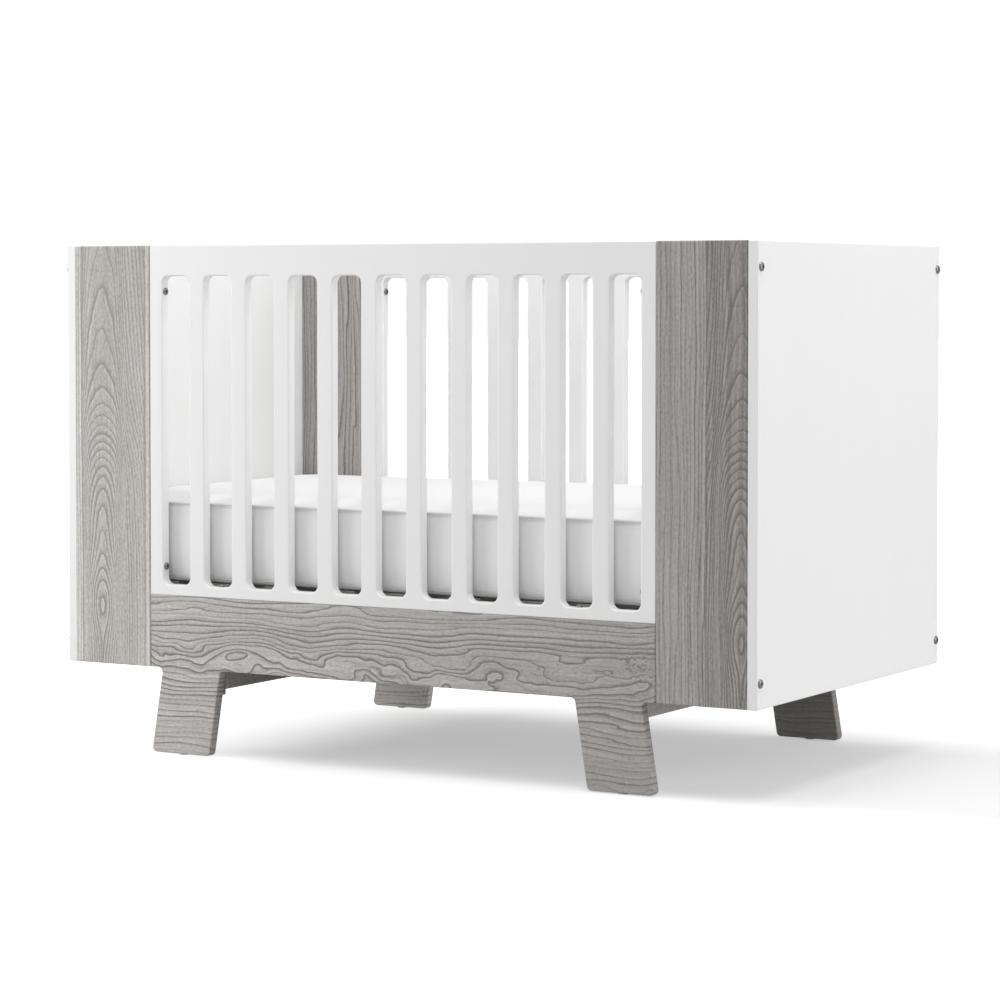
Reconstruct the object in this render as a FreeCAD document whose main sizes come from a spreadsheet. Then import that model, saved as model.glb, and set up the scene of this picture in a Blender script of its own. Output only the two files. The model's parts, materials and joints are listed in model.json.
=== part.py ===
import FreeCAD, Part
import os
import re

import Sketcher

# Baby crib in millimetres.  +X runs along the crib, -Y is its front, +Z is up, and the origin
# is on the floor under the middle of the crib.

Vector = FreeCAD.Vector
DOC = FreeCAD.newDocument("baby_crib")
SHEET = DOC.addObject("Spreadsheet::Sheet", "Sizes")

SIZES = {
    # whole crib
    "overall_length": 1370,        # outer face to outer face of the end panels
    "overall_depth": 752,          # front face to rear face
    "case_height": 747,            # underside of the case to its top edge
    "leg_height": 153,             # floor to the underside of the case
    # boards
    "end_panel_thick": 18,
    "board_thick": 20,             # posts, slatted panels and leg boards
    "post_width": 164,
    "apron_height": 129,           # the level part of a leg board
    "white_ease": 1.8,             # rounding along the edges of the white boards
    "wood_ease": 2.2,              # rounding along the edges of the wooden boards
    # slatted panels
    "slot_width": 58.3,
    "slat_width": 31.1,
    "least_stile": 24,             # narrowest stile beside the outer slots
    "top_rail": 54,
    "bottom_rail": 19,
    "slot_corner": 13,
    "slot_ease": 2.6,
    # legs
    "leg_inset": 25.5,             # end of the leg board to the outer edge of the leg, at its top
    "leg_width": 123.5,
    "leg_splay": 24,               # how far a foot stands outside the top of its leg
    "foot_corner": 8,
    "leg_root_corner": 9,
    "glide_radius": 8,
    "glide_proud": 2,
    "glide_stem_radius": 2.5,
    "glide_stem_length": 14,
    # beams that tie the front legs to the rear legs
    "beam_inset": 94,              # end of the leg board to the middle of the beam
    "beam_width": 75,
    "beam_height": 45,
    "beam_drop": 37,               # underside of the case to the underside of the beam
    "cleat_width": 88,
    "cleat_height": 92,
    "cleat_thick": 15,
    "cleat_drop": 45,
    "beam_screw_offset": 20,       # beam screws, each side of the beam's middle
    "cleat_screw_offset": 28,
    "cleat_screw_top": 16,         # top of the cleat to its screws
    # bolts, nuts, inserts and dowels
    "bolt_radius": 3,
    "bolt_hole_radius": 3.4,
    "end_head_radius": 7.5,
    "end_head_height": 3.6,
    "end_bolt_inset": 42,          # case top or underside to the bolt's axis
    "end_bolt_length": 50,
    "socket_radius": 2.4,          # across the corners of the key socket, halved
    "socket_depth": 2.2,
    "barrel_radius": 5,
    "barrel_length": 15,
    "barrel_inset": 30,            # joint face to the axis of the barrel nut
    "side_head_radius": 6.5,
    "side_head_height": 3.4,
    "side_bolt_drop": 81,          # case top to the upper side bolts
    "side_bolt_rise": 179.5,       # case underside to the lower side bolts
    "side_bolt_reach": 13,         # how far a side bolt runs into its post
    "insert_radius": 5,
    "insert_length": 14,
    "apron_bolt_reach": 38,        # how far an apron bolt runs into the leg board
    "dowel_radius": 4,
    "dowel_reach": 14,             # half of a dowel, less its play
    "end_dowel_reach": 9,          # part of a dowel that sits in an end panel
    "fit_play": 0.1,               # play round dowels, nuts, inserts and screws
    "end_play": 1,                 # free length at the end of a blind hole
    # mattress support
    "deck_rise": 151,              # case underside to the top of the deck slats
    "support_side_play": 11,       # posts to the support's side rails
    "support_end_play": 12,        # end panels to the support's ends
    "rail_width": 22,
    "rail_height": 40,
    "deck_slat_width": 64,
    "deck_slat_thick": 12,
    "deck_slat_most_gap": 65,
    "deck_screw_radius": 2,
    "deck_screw_length": 34,
    "frame_screw_length": 60,
    "hanger_width": 60,
    "hanger_thick": 2.5,
    "hanger_height": 47,
    "hanger_inset": 80,            # end panel to the middle of the hanger
    "hanger_gap": 0.3,             # play between a hanger and its post or bolt head
    "hook_offset": 16,             # middle of the hanger to the hook slot
    "hook_play": 0.5,
    "hook_height": 10,             # hanger top to the axis of the bolt that it hangs on
    "row_pitch": 64,               # height between the rows of hanger inserts
    "rows_below": 1,
    "rows_above": 2,
    "hanger_head_radius": 6.5,
    "hanger_head_height": 3.6,
    # mattress
    "mattress_end_play": 7,        # end panels to the mattress
    "mattress_side_play": 6,       # posts and slatted panels to the mattress
    "mattress_height": 152,
    "mattress_corner": 34,
    "mattress_lift": 0.3,          # play between the deck and the mattress
    "cover_thick": 3,
    "top_panel_thick": 12,
    "bottom_panel_thick": 4,
    "piping_width": 5,
    "piping_proud": 2.4,
}

for row, (alias, size) in enumerate(SIZES.items(), start=1):
    SHEET.set(f"A{row}", alias)
    SHEET.set(f"B{row}", str(size))
    SHEET.setAlias(f"B{row}", alias)
DOC.recompute()

# Places that several pieces share, as expressions on the sheet.
CASE_TOP = "(leg_height + case_height)"
APRON_TOP = "(leg_height + apron_height)"
END_FACE = "(overall_length / 2)"
POST_OUTER = "(overall_length / 2 - end_panel_thick)"
POST_INNER = "(overall_length / 2 - end_panel_thick - post_width)"
FRONT_FACE = "(overall_depth / 2)"
INNER_FACE = "(overall_depth / 2 - board_thick)"
MID_BOARD = "(overall_depth / 2 - board_thick / 2)"
SLOT_PITCH = "(slot_width + slat_width)"
SLOT_COUNT = f"floor((2 * {POST_INNER} - 2 * least_stile + slat_width) / {SLOT_PITCH})"
STILE = f"({POST_INNER} - ({SLOT_COUNT} * {SLOT_PITCH} - slat_width) / 2)"
SLOT_WALL = f"({POST_INNER} - {STILE})"
BEAM_MID = f"({POST_INNER} - beam_inset)"
CLEAT_LOW = "(leg_height - cleat_drop)"
BEAM_LOW = "(leg_height - beam_drop)"
SUPPORT_SIDE = f"({INNER_FACE} - support_side_play)"
SUPPORT_END = f"({POST_OUTER} - support_end_play)"
DECK_TOP = "(leg_height + deck_rise)"
RAIL_TOP = f"({DECK_TOP} - deck_slat_thick)"
RAIL_LOW = f"({RAIL_TOP} - rail_height)"
HANGER_MID = f"({POST_OUTER} - hanger_inset)"
HANGER_LOW = f"({RAIL_LOW} - hanger_thick)"
HOOK_LEVEL = f"({HANGER_LOW} + hanger_height - hook_height)"
DECK_SLAT_PITCH = "(deck_slat_width + deck_slat_most_gap)"
DECK_SLAT_COUNT = f"(floor((2 * {SUPPORT_END} - deck_slat_width) / {DECK_SLAT_PITCH}) + 2)"
MATTRESS_LOW = f"({DECK_TOP} + mattress_lift)"
MATTRESS_END = f"({POST_OUTER} - mattress_end_play)"
MATTRESS_SIDE = f"({INNER_FACE} - mattress_side_play)"

END_BOLT_LEVELS = ("(leg_height + end_bolt_inset)", f"({CASE_TOP} - end_bolt_inset)")
SIDE_BOLT_LEVELS = ("(leg_height + side_bolt_rise)", f"({CASE_TOP} - side_bolt_drop)")
END_DOWEL_LEVELS = tuple(f"(leg_height + case_height * {share})" for share in (0.25, 0.5, 0.75))
APRON_DOWEL_LEVELS = tuple(f"(leg_height + apron_height * {share})" for share in (0.25, 0.75))
PANEL_DOWEL_PLACES = tuple(f"({POST_INNER} * {share})" for share in (-0.85, -0.3, 0.3, 0.85))

SIDES = {"left": -1, "right": 1}
FACES = {"front": -1, "rear": 1}
TURNS = {
    "+Z": FreeCAD.Rotation(),
    "-Z": FreeCAD.Rotation(Vector(1, 0, 0), 180),
    "+X": FreeCAD.Rotation(Vector(0, 1, 0), 90),
    "-X": FreeCAD.Rotation(Vector(0, 1, 0), -90),
    "+Y": FreeCAD.Rotation(Vector(1, 0, 0), -90),
    "-Y": FreeCAD.Rotation(Vector(1, 0, 0), 90),
}
NODES = []


def bound(expression):
    """The expression with each size written as a cell of the sheet."""
    return re.sub(r"[a-z][a-z_]+", lambda word: cell(word.group()), str(expression))


def cell(word):
    return f"Sizes.{word}" if word in SIZES else word


def number(expression):
    return float(SHEET.evalExpression(bound(expression)))


def away(axis, sign):
    """The name of the direction along an axis that a sign gives, such as "-X"."""
    return ("+" if sign > 0 else "-") + axis


def place(item, spot):
    for axis, expression in zip("xyz", spot):
        item.setExpression(f"Placement.Base.{axis}", bound(expression))


def node(label, item):
    """Keep an object as one sub-part of the crib."""
    item.Label = label
    NODES.append(item)
    return item


# ---------------------------------------------------------------- general shapes

def box(name, low, size):
    block = DOC.addObject("Part::Box", name)
    for side, expression in zip(("Length", "Width", "Height"), size):
        block.setExpression(side, bound(expression))
    place(block, low)
    return block


def rod(name, radius, length, start, direction):
    """A cylinder from its start along a direction."""
    cylinder = DOC.addObject("Part::Cylinder", name)
    cylinder.setExpression("Radius", bound(radius))
    cylinder.setExpression("Height", bound(length))
    cylinder.Placement = FreeCAD.Placement(Vector(), TURNS[direction])
    place(cylinder, start)
    return cylinder


def cut(name, base, tools):
    cutter = DOC.addObject("Part::Compound", name + "_cutters")
    cutter.Links = tools
    result = DOC.addObject("Part::Cut", name)
    result.Base = base
    result.Tool = cutter
    return result


def group(label, pieces):
    """Separate identical pieces that share one sub-part."""
    compound = DOC.addObject("Part::Compound", label)
    compound.Links = pieces
    return node(label, compound)


def copy_of(source, spot, direction):
    link = DOC.addObject("App::Link", source.Name + "_copy")
    link.LinkedObject = source
    link.Placement = FreeCAD.Placement(Vector(), TURNS[direction])
    place(link, spot)
    return link


def new_body(name):
    return DOC.addObject("PartDesign::Body", name)


def origin_part(body, role):
    return next(item for item in body.Origin.OriginFeatures if item.Role == role)


def outline(body, name, role, points):
    """A closed sketch of straight edges, with each corner tied to the sheet."""
    sketch = body.newObject("Sketcher::SketchObject", name)
    sketch.AttachmentSupport = [(origin_part(body, role), "")]
    sketch.MapMode = "FlatFace"
    corners = [Vector(number(across), number(up), 0) for across, up in points]
    count = len(corners)
    for index in range(count):
        sketch.addGeometry(Part.LineSegment(corners[index], corners[(index + 1) % count]), False)
    for index in range(count):
        sketch.addConstraint(Sketcher.Constraint("Coincident", index, 2, (index + 1) % count, 1))
    for index, (across, up) in enumerate(points):
        tie(sketch, "DistanceX", f"across{index}", index, across)
        tie(sketch, "DistanceY", f"up{index}", index, up)
    return sketch


def tie(sketch, kind, name, index, expression):
    """Hold the start of one edge at a distance from the sketch's origin."""
    constraint = Sketcher.Constraint(kind, -1, 1, index, 1, number(expression))
    sketch.renameConstraint(sketch.addConstraint(constraint), name)
    sketch.setExpression(f"Constraints.{name}", bound(expression))


def pad(body, name, sketch, length):
    feature = body.newObject("PartDesign::Pad", name)
    feature.Profile = sketch
    feature.setExpression("Length", bound(length))
    DOC.recompute()
    return feature


def rounded(body, name, base, radius, wanted):
    """Round the edges of a feature for which wanted(edge) is true."""
    names = [f"Edge{index}" for index, edge in enumerate(base.Shape.Edges, start=1) if wanted(edge)]
    feature = body.newObject("PartDesign::Fillet", name)
    feature.Base = (base, names)
    feature.setExpression("Radius", bound(radius))
    DOC.recompute()
    return feature


def upright(edge):
    return along(edge, Vector(0, 0, 1))


def along(edge, axis):
    if edge.Curve.TypeId != "Part::GeomLine":
        return False
    first, last = edge.Vertexes[0].Point, edge.Vertexes[-1].Point
    return (last - first).cross(axis).Length < 1e-6


def on_level(edge, axis, level):
    """True for an edge that lies wholly in the plane axis = level."""
    return all(abs(getattr(vertex.Point, axis) - level) < 1e-6 for vertex in edge.Vertexes) and \
        abs(getattr(edge.CenterOfMass, axis) - level) < 1e-6


def eased_board(name, low, size, radius):
    """A plain board with all of its edges rounded."""
    body = new_body(name)
    blank = body.newObject("PartDesign::AdditiveBox", name + "_blank")
    for side, expression in zip(("Length", "Width", "Height"), size):
        blank.setExpression(side, bound(expression))
    DOC.recompute()
    rounded(body, name + "_easing", blank, radius, lambda edge: True)
    place(body, low)
    return body


def turned(name, points, crown=None):
    """A piece turned about +Z from its half section, with a crowned top edge if wanted."""
    body = new_body(name)
    section = outline(body, name + "_section", "XZ_Plane", points)
    feature = body.newObject("PartDesign::Revolution", name + "_turning")
    feature.Profile = section
    feature.ReferenceAxis = (origin_part(body, "Z_Axis"), [""])
    feature.Angle = 360
    DOC.recompute()
    if crown:
        top = max(number(up) for _, up in points)
        feature = rounded(body, name + "_crown", feature, crown, lambda edge: on_level(edge, "z", top))
    return body


def socket(name, body, head_height):
    """The head of a turned bolt with a hexagonal key socket in its top."""
    prism = DOC.addObject("Part::Prism", name + "_socket")
    prism.Polygon = 6
    prism.setExpression("Circumradius", bound("socket_radius"))
    prism.setExpression("Height", bound("socket_depth + 1"))
    place(prism, ("0", "0", f"{head_height} - socket_depth"))
    return cut(name, body, [prism])


def bolt(name, head_radius, head_height, length):
    """A bolt that points down, with the underside of its head at the origin."""
    points = [("0", f"-({length})"), ("bolt_radius", f"-({length})"), ("bolt_radius", "0"),
              (head_radius, "0"), (head_radius, head_height), ("0", head_height)]
    body = turned(name + "_blank", points, crown=f"{head_height} * 0.8")
    return socket(name, body, head_height)


def wood_screw(name, radius, length):
    """A countersunk screw that points down, with the top of its head at the origin."""
    points = [("0", f"-({length})"), (radius, f"-({length}) + 2 * {radius}"), (radius, f"-{radius}"),
              (f"2 * {radius}", "0"), ("0", "0")]
    return turned(name, points)


def screw_holes(name, radius, length, spot, direction):
    """A countersunk clearance hole and pilot hole for a wood screw driven along a direction."""
    points = [("0", f"-({length}) - end_play"), (f"{radius} + fit_play", f"-({length}) - end_play"),
              (f"{radius} + fit_play", f"-{radius}"), (f"2 * {radius} + fit_play", "0"),
              (f"2 * {radius} + fit_play", "1"), ("0", "1")]
    return copy_of(turned(name, points), spot, direction)


# ---------------------------------------------------------------- places of the fasteners

def end_bolt_spots(side, face):
    """Seats of the bolts that hold an end panel to one post."""
    return [(f"{side} * {END_FACE}", f"{face} * {MID_BOARD}", level) for level in END_BOLT_LEVELS]


def side_bolt_spots(side, face):
    """Seats of the bolts that hold a slatted panel to one post."""
    return [(f"{side} * {SLOT_WALL}", f"{face} * {MID_BOARD}", level) for level in SIDE_BOLT_LEVELS]


def apron_bolt_spots(face):
    """Seats of the bolts that hold a slatted panel to its leg board."""
    middle = f"({SLOT_WALL} - {SLOT_PITCH} - slot_width / 2)"
    return [(f"{side} * {middle}", f"{face} * {MID_BOARD}", f"{APRON_TOP} + bottom_rail")
            for side in SIDES.values()]


def hanger_spot(side, face, row):
    """Axis of a hanger insert at the inner face of a post, counted in rows from the one in use."""
    return (f"{side} * ({HANGER_MID} - hook_offset)", f"{face} * {INNER_FACE}",
            f"{HOOK_LEVEL} + {row} * row_pitch")


def hanger_rows():
    return range(-int(number("rows_below")), int(number("rows_above")) + 1)


def cleat_screw_spots(side, face):
    return [(f"{side} * {BEAM_MID} + {offset} * cleat_screw_offset",
             f"{face} * ({INNER_FACE} - cleat_thick)",
             f"{CLEAT_LOW} + cleat_height - cleat_screw_top") for offset in (-1, 1)]


def beam_screw_spots(side, face):
    return [(f"{side} * {BEAM_MID} + {offset} * beam_screw_offset", f"{face} * {INNER_FACE}",
             f"{BEAM_LOW} + beam_height / 2") for offset in (-1, 1)]


def deck_slat_numbers():
    return range(int(number(DECK_SLAT_COUNT)))


def deck_slat_left(index):
    """Left edge of one deck slat."""
    step = f"(2 * {SUPPORT_END} - deck_slat_width) / ({DECK_SLAT_COUNT} - 1)"
    return f"-{SUPPORT_END} + {index} * {step}"


def deck_screw_spots(index, face):
    return [(f"{deck_slat_left(index)} + deck_slat_width / 2",
             f"{face} * ({SUPPORT_SIDE} - rail_width / 2)", DECK_TOP)]


def frame_screw_spots(side, face):
    return [(f"{side} * ({SUPPORT_END} - rail_width / 2)", f"{face} * {SUPPORT_SIDE}",
             f"{RAIL_LOW} + rail_height * {share}") for share in (0.3, 0.7)]


# ---------------------------------------------------------------- case

def end_panel(side_name, side):
    """A white end panel, with holes for the bolts and dowels of its two posts."""
    low_x = END_FACE if side < 0 else POST_OUTER
    board = eased_board(f"{side_name}_end_board", (f"{side} * {low_x}", f"-{FRONT_FACE}", "leg_height"),
                        ("end_panel_thick", "overall_depth", "case_height"), "white_ease")
    tools = []
    for face_name, face in FACES.items():
        for x, y, z in end_bolt_spots(side, face):
            tools.append(rod(f"{side_name}_{face_name}_panel_bolt_hole", "bolt_hole_radius",
                             "end_panel_thick + 2", (f"{x} + {side}", y, z), away("X", -side)))
        for level in END_DOWEL_LEVELS:
            tools.append(rod(f"{side_name}_{face_name}_panel_dowel_hole", "dowel_radius + fit_play",
                             "end_dowel_reach + end_play",
                             (f"{side} * {POST_OUTER}", f"{face} * {MID_BOARD}", level), away("X", side)))
    return node(f"{side_name}_end_panel", cut(f"{side_name}_end_panel", board, tools))


def post(side_name, side, face_name, face):
    """A wide wooden corner board, drilled for everything that joins it."""
    name = f"{face_name}_{side_name}_post"
    low_x = POST_OUTER if side < 0 else POST_INNER
    low_y = FRONT_FACE if face < 0 else INNER_FACE
    board = eased_board(name + "_board", (f"{side} * {low_x}", f"{face} * {low_y}", "leg_height"),
                        ("post_width", "board_thick", "case_height"), "wood_ease")
    outer, inner = f"{side} * {POST_OUTER}", f"{side} * {POST_INNER}"
    middle, back = f"{face} * {MID_BOARD}", f"{face} * {INNER_FACE}"
    tools = []
    for level in END_BOLT_LEVELS:
        tools.append(rod(name + "_bolt_hole", "bolt_hole_radius",
                         "end_bolt_length - end_panel_thick + end_play", (outer, middle, level),
                         away("X", -side)))
        tools.append(rod(name + "_barrel_hole", "barrel_radius + fit_play", "barrel_length + end_play",
                         (f"{side} * ({POST_OUTER} - barrel_inset)", back, level), away("Y", face)))
    for level in SIDE_BOLT_LEVELS:
        tools.append(rod(name + "_side_insert_hole", "insert_radius + fit_play", "insert_length + end_play",
                         (inner, middle, level), away("X", side)))
    for level in END_DOWEL_LEVELS:
        tools.append(rod(name + "_end_dowel_hole", "dowel_radius + fit_play", "dowel_reach + end_play",
                         (outer, middle, level), away("X", -side)))
    for level in APRON_DOWEL_LEVELS:
        tools.append(rod(name + "_apron_dowel_hole", "dowel_radius + fit_play", "dowel_reach + end_play",
                         (inner, middle, level), away("X", side)))
    for row in hanger_rows():
        tools.append(rod(name + "_hanger_hole", "insert_radius + fit_play", "insert_length + end_play",
                         hanger_spot(side, face, row), away("Y", face)))
    return node(name, cut(name, board, tools))


def slatted_panel(face_name, face):
    """A white panel with a row of round-cornered slots cut through it."""
    name = f"{face_name}_slatted_panel"
    body = new_body(name + "_board")
    blank = body.newObject("PartDesign::AdditiveBox", name + "_blank")
    blank.setExpression("Length", bound(f"2 * {POST_INNER}"))
    blank.setExpression("Width", bound("board_thick"))
    blank.setExpression("Height", bound("case_height - apron_height"))
    DOC.recompute()
    left, right = STILE, f"{STILE} + slot_width"
    low, high = "bottom_rail", "case_height - apron_height - top_rail"
    sketch = outline(body, name + "_slot_outline", "XZ_Plane",
                     [(left, low), (right, low), (right, high), (left, high)])
    slot = body.newObject("PartDesign::Pocket", name + "_slot")
    slot.Profile = sketch
    slot.Type = "ThroughAll"
    slot.Midplane = True
    DOC.recompute()
    inside = number(STILE) - 1

    def slot_corner_edge(edge):
        spot = edge.CenterOfMass
        return along(edge, Vector(0, 1, 0)) and inside < spot.x < number(f"{right} + 1") and \
            1 < spot.z < number(f"{high} + 1")

    corners = rounded(body, name + "_slot_corners", slot, "slot_corner", slot_corner_edge)
    row = body.newObject("PartDesign::LinearPattern", name + "_slots")
    row.Originals = [slot, corners]
    row.Direction = (origin_part(body, "X_Axis"), [""])
    row.Mode = "Spacing"
    row.setExpression("Offset", bound(SLOT_PITCH))
    row.setExpression("Occurrences", bound(SLOT_COUNT))
    body.Tip = row
    DOC.recompute()
    length, height = number(f"2 * {POST_INNER}"), number("case_height - apron_height")

    def slot_rim(edge):
        spot = edge.CenterOfMass
        flat = on_level(edge, "y", 0) or on_level(edge, "y", number("board_thick"))
        return flat and 1 < spot.x < length - 1 and 1 < spot.z < height - 1

    def outer_edge(edge):
        box_of = edge.BoundBox
        return box_of.XMax < 1e-4 or box_of.XMin > length - 1e-4 or box_of.ZMax < 1e-4 \
            or box_of.ZMin > height - 1e-4

    rims = rounded(body, name + "_slot_easing", row, "slot_ease", slot_rim)
    rounded(body, name + "_edge_easing", rims, "white_ease", outer_edge)
    place(body, (f"-{POST_INNER}", f"{face} * {FRONT_FACE if face < 0 else INNER_FACE}", APRON_TOP))
    tools = []
    for side in SIDES.values():
        for x, y, z in side_bolt_spots(side, face):
            tools.append(rod(name + "_side_bolt_hole", "bolt_hole_radius", f"{STILE} + 2",
                             (f"{x} - {side}", y, z), away("X", side)))
    for x, y, z in apron_bolt_spots(face):
        tools.append(rod(name + "_apron_bolt_hole", "bolt_hole_radius", "bottom_rail + 2",
                         (x, y, f"{z} + 1"), "-Z"))
    for place_x in PANEL_DOWEL_PLACES:
        tools.append(rod(name + "_dowel_hole", "dowel_radius + fit_play", "dowel_reach + end_play",
                         (place_x, f"{face} * {MID_BOARD}", APRON_TOP), "+Z"))
    return node(name, cut(name, body, tools))


# ---------------------------------------------------------------- base

def leg_points(side):
    """Corners of one splayed leg from its root outside to its root inside, for the right side."""
    outer, inner = f"({POST_INNER} - leg_inset)", f"({POST_INNER} - leg_inset - leg_width)"
    return [(outer, "leg_height"), (f"{outer} + leg_splay", "glide_proud"),
            (f"{inner} + leg_splay", "glide_proud"), (inner, "leg_height")] if side > 0 else \
        [(f"-{inner}", "leg_height"), (f"-({inner} + leg_splay)", "glide_proud"),
         (f"-({outer} + leg_splay)", "glide_proud"), (f"-{outer}", "leg_height")]


def leg_board(face_name, face):
    """One plank that is the apron and, at each end, a splayed leg."""
    name = f"{face_name}_leg_board"
    body = new_body(name + "_plank")
    points = [(f"-{POST_INNER}", APRON_TOP), (POST_INNER, APRON_TOP), (POST_INNER, "leg_height")]
    points += leg_points(1) + leg_points(-1) + [(f"-{POST_INNER}", "leg_height")]
    plank = pad(body, name + "_pad", outline(body, name + "_outline", "XZ_Plane", points), "board_thick")
    floor_level, case_level = number("glide_proud"), number("leg_height")
    root_limit = number(f"{POST_INNER} - leg_inset / 2")
    across = Vector(0, 1, 0)

    def foot_edge(edge):
        return along(edge, across) and abs(edge.CenterOfMass.z - floor_level) < 1e-4

    def root_edge(edge):
        spot = edge.CenterOfMass
        return along(edge, across) and abs(spot.z - case_level) < 1e-4 and abs(spot.x) < root_limit

    feet = rounded(body, name + "_feet", plank, "foot_corner", foot_edge)
    roots = rounded(body, name + "_roots", feet, "leg_root_corner", root_edge)

    def face_edge(edge):
        return on_level(edge, "y", 0) or on_level(edge, "y", -number("board_thick"))

    rounded(body, name + "_easing", roots, "wood_ease", face_edge)
    place(body, ("0", f"{face} * {INNER_FACE if face < 0 else FRONT_FACE}", "0"))
    middle, back = f"{face} * {MID_BOARD}", f"{face} * {INNER_FACE}"
    tools = []
    for side in SIDES.values():
        for level in APRON_DOWEL_LEVELS:
            tools.append(rod(name + "_end_dowel_hole", "dowel_radius + fit_play", "dowel_reach + end_play",
                             (f"{side} * {POST_INNER}", middle, level), away("X", -side)))
        for x, y, z in cleat_screw_spots(side, face):
            tools.append(rod(name + "_cleat_insert_hole", "insert_radius + fit_play",
                             "insert_length + end_play", (x, back, z), away("Y", face)))
        tools.append(rod(name + "_glide_hole", "glide_stem_radius + fit_play",
                         "glide_stem_length + end_play", foot_spot(side, face), "+Z"))
    for x, y, z in apron_bolt_spots(face):
        tools.append(rod(name + "_apron_bolt_hole", "bolt_hole_radius", "apron_bolt_reach + end_play",
                         (x, y, APRON_TOP), "-Z"))
        tools.append(rod(name + "_barrel_hole", "barrel_radius + fit_play", "barrel_length + end_play",
                         (x, back, f"{APRON_TOP} - barrel_inset"), away("Y", face)))
    for place_x in PANEL_DOWEL_PLACES:
        tools.append(rod(name + "_top_dowel_hole", "dowel_radius + fit_play", "dowel_reach + end_play",
                         (place_x, middle, APRON_TOP), "-Z"))
    return node(name, cut(name, body, tools))


def foot_spot(side, face):
    """Middle of the underside of one foot."""
    return (f"{side} * ({POST_INNER} - leg_inset - leg_width / 2 + leg_splay)", f"{face} * {MID_BOARD}",
            "glide_proud")


def foot_glides():
    """A nylon glide, with a stem, under each foot."""
    glide = turned("glide", [("0", "-glide_proud"), ("glide_radius", "-glide_proud"), ("glide_radius", "0"),
                             ("glide_stem_radius", "0"), ("glide_stem_radius", "glide_stem_length"),
                             ("0", "glide_stem_length")])
    spots = [foot_spot(side, face) for side in SIDES.values() for face in FACES.values()]
    return group("foot_glides", [copy_of(glide, spot, "+Z") for spot in spots])


def cross_beam(side_name, side):
    """A beam from the front cleat to the rear cleat."""
    name = f"{side_name}_cross_beam"
    reach = f"({INNER_FACE} - cleat_thick)"
    low_x = f"{side} * {BEAM_MID} - beam_width / 2"
    board = eased_board(name + "_board", (low_x, f"-{reach}", BEAM_LOW),
                        ("beam_width", f"2 * {reach}", "beam_height"), "wood_ease")
    tools = [screw_holes(f"{name}_screw_hole", "deck_screw_radius", "frame_screw_length", spot, away("Y", face))
             for face in FACES.values() for spot in beam_screw_spots(side, face)]
    return node(name, cut(name, board, tools))


def leg_cleat(side_name, side, face_name, face):
    """A block behind a leg that the cross beam ends on."""
    name = f"{face_name}_{side_name}_cleat"
    low_y = INNER_FACE if face < 0 else f"({INNER_FACE} - cleat_thick)"
    board = eased_board(name + "_board", (f"{side} * {BEAM_MID} - cleat_width / 2", f"{face} * {low_y}",
                                          CLEAT_LOW),
                        ("cleat_width", "cleat_thick", "cleat_height"), "wood_ease")
    tools = [screw_holes(f"{name}_beam_screw_hole", "deck_screw_radius", "frame_screw_length", spot,
                         away("Y", face)) for spot in beam_screw_spots(side, face)]
    tools += [rod(name + "_screw_hole", "bolt_hole_radius", "cleat_thick + 2", (x, f"{y} - {face}", z),
                  away("Y", face)) for x, y, z in cleat_screw_spots(side, face)]
    return node(name, cut(name, board, tools))


# ---------------------------------------------------------------- fasteners of the case and base

def case_fasteners():
    """Bolts, nuts, inserts, dowels and screws that hold the case and the base together."""
    corners = [(side, face) for side in SIDES.values() for face in FACES.values()]
    end_bolt = bolt("end_bolt", "end_head_radius", "end_head_height", "end_bolt_length")
    group("end_bolts", [copy_of(end_bolt, spot, away("X", side)) for side, face in corners
                        for spot in end_bolt_spots(side, face)])
    side_bolt = bolt("side_bolt", "side_head_radius", "side_head_height", f"{STILE} + side_bolt_reach")
    group("side_bolts", [copy_of(side_bolt, spot, away("X", -side)) for side, face in corners
                         for spot in side_bolt_spots(side, face)])
    apron_bolt = bolt("apron_bolt", "side_head_radius", "side_head_height",
                      "bottom_rail + apron_bolt_reach")
    group("apron_bolts", [copy_of(apron_bolt, spot, "+Z") for face in FACES.values()
                          for spot in apron_bolt_spots(face)])
    cleat_bolt = bolt("cleat_bolt", "side_head_radius", "side_head_height",
                      "cleat_thick + insert_length - 1")
    group("cleat_bolts", [copy_of(cleat_bolt, spot, away("Y", -face)) for side, face in corners
                          for spot in cleat_screw_spots(side, face)])
    beam_screw = wood_screw("beam_screw", "deck_screw_radius", "frame_screw_length")
    group("beam_screws", [copy_of(beam_screw, spot, away("Y", face)) for side, face in corners
                          for spot in beam_screw_spots(side, face)])
    barrel_nuts()
    threaded_inserts()
    dowels()


def barrel(name, spot, direction, cross_direction):
    """A barrel nut whose cross hole lies along the bolt."""
    x, y, z = spot
    steel = rod(name, "barrel_radius", "barrel_length", spot, direction)
    face = 1 if direction == "+Y" else -1
    start = {"X": (f"{x} - 2 * barrel_radius", f"{y} + {face} * board_thick / 2", z),
             "Z": (x, f"{y} + {face} * board_thick / 2", f"{z} - 2 * barrel_radius")}[cross_direction]
    hole = rod(name + "_hole", "bolt_radius + fit_play", "4 * barrel_radius", start, "+" + cross_direction)
    return cut(name + "_drilled", steel, [hole])


def barrel_nuts():
    """Steel nuts across the posts and leg boards that the long bolts run into."""
    nuts = []
    for face in FACES.values():
        back, outward = f"{face} * {INNER_FACE}", away("Y", face)
        for side in SIDES.values():
            across = f"{side} * ({POST_OUTER} - barrel_inset)"
            nuts += [barrel("post_nut", (across, back, level), outward, "X") for level in END_BOLT_LEVELS]
        nuts += [barrel("apron_nut", (x, back, f"{APRON_TOP} - barrel_inset"), outward, "Z")
                 for x, _, _ in apron_bolt_spots(face)]
    group("barrel_nuts", nuts)


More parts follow.
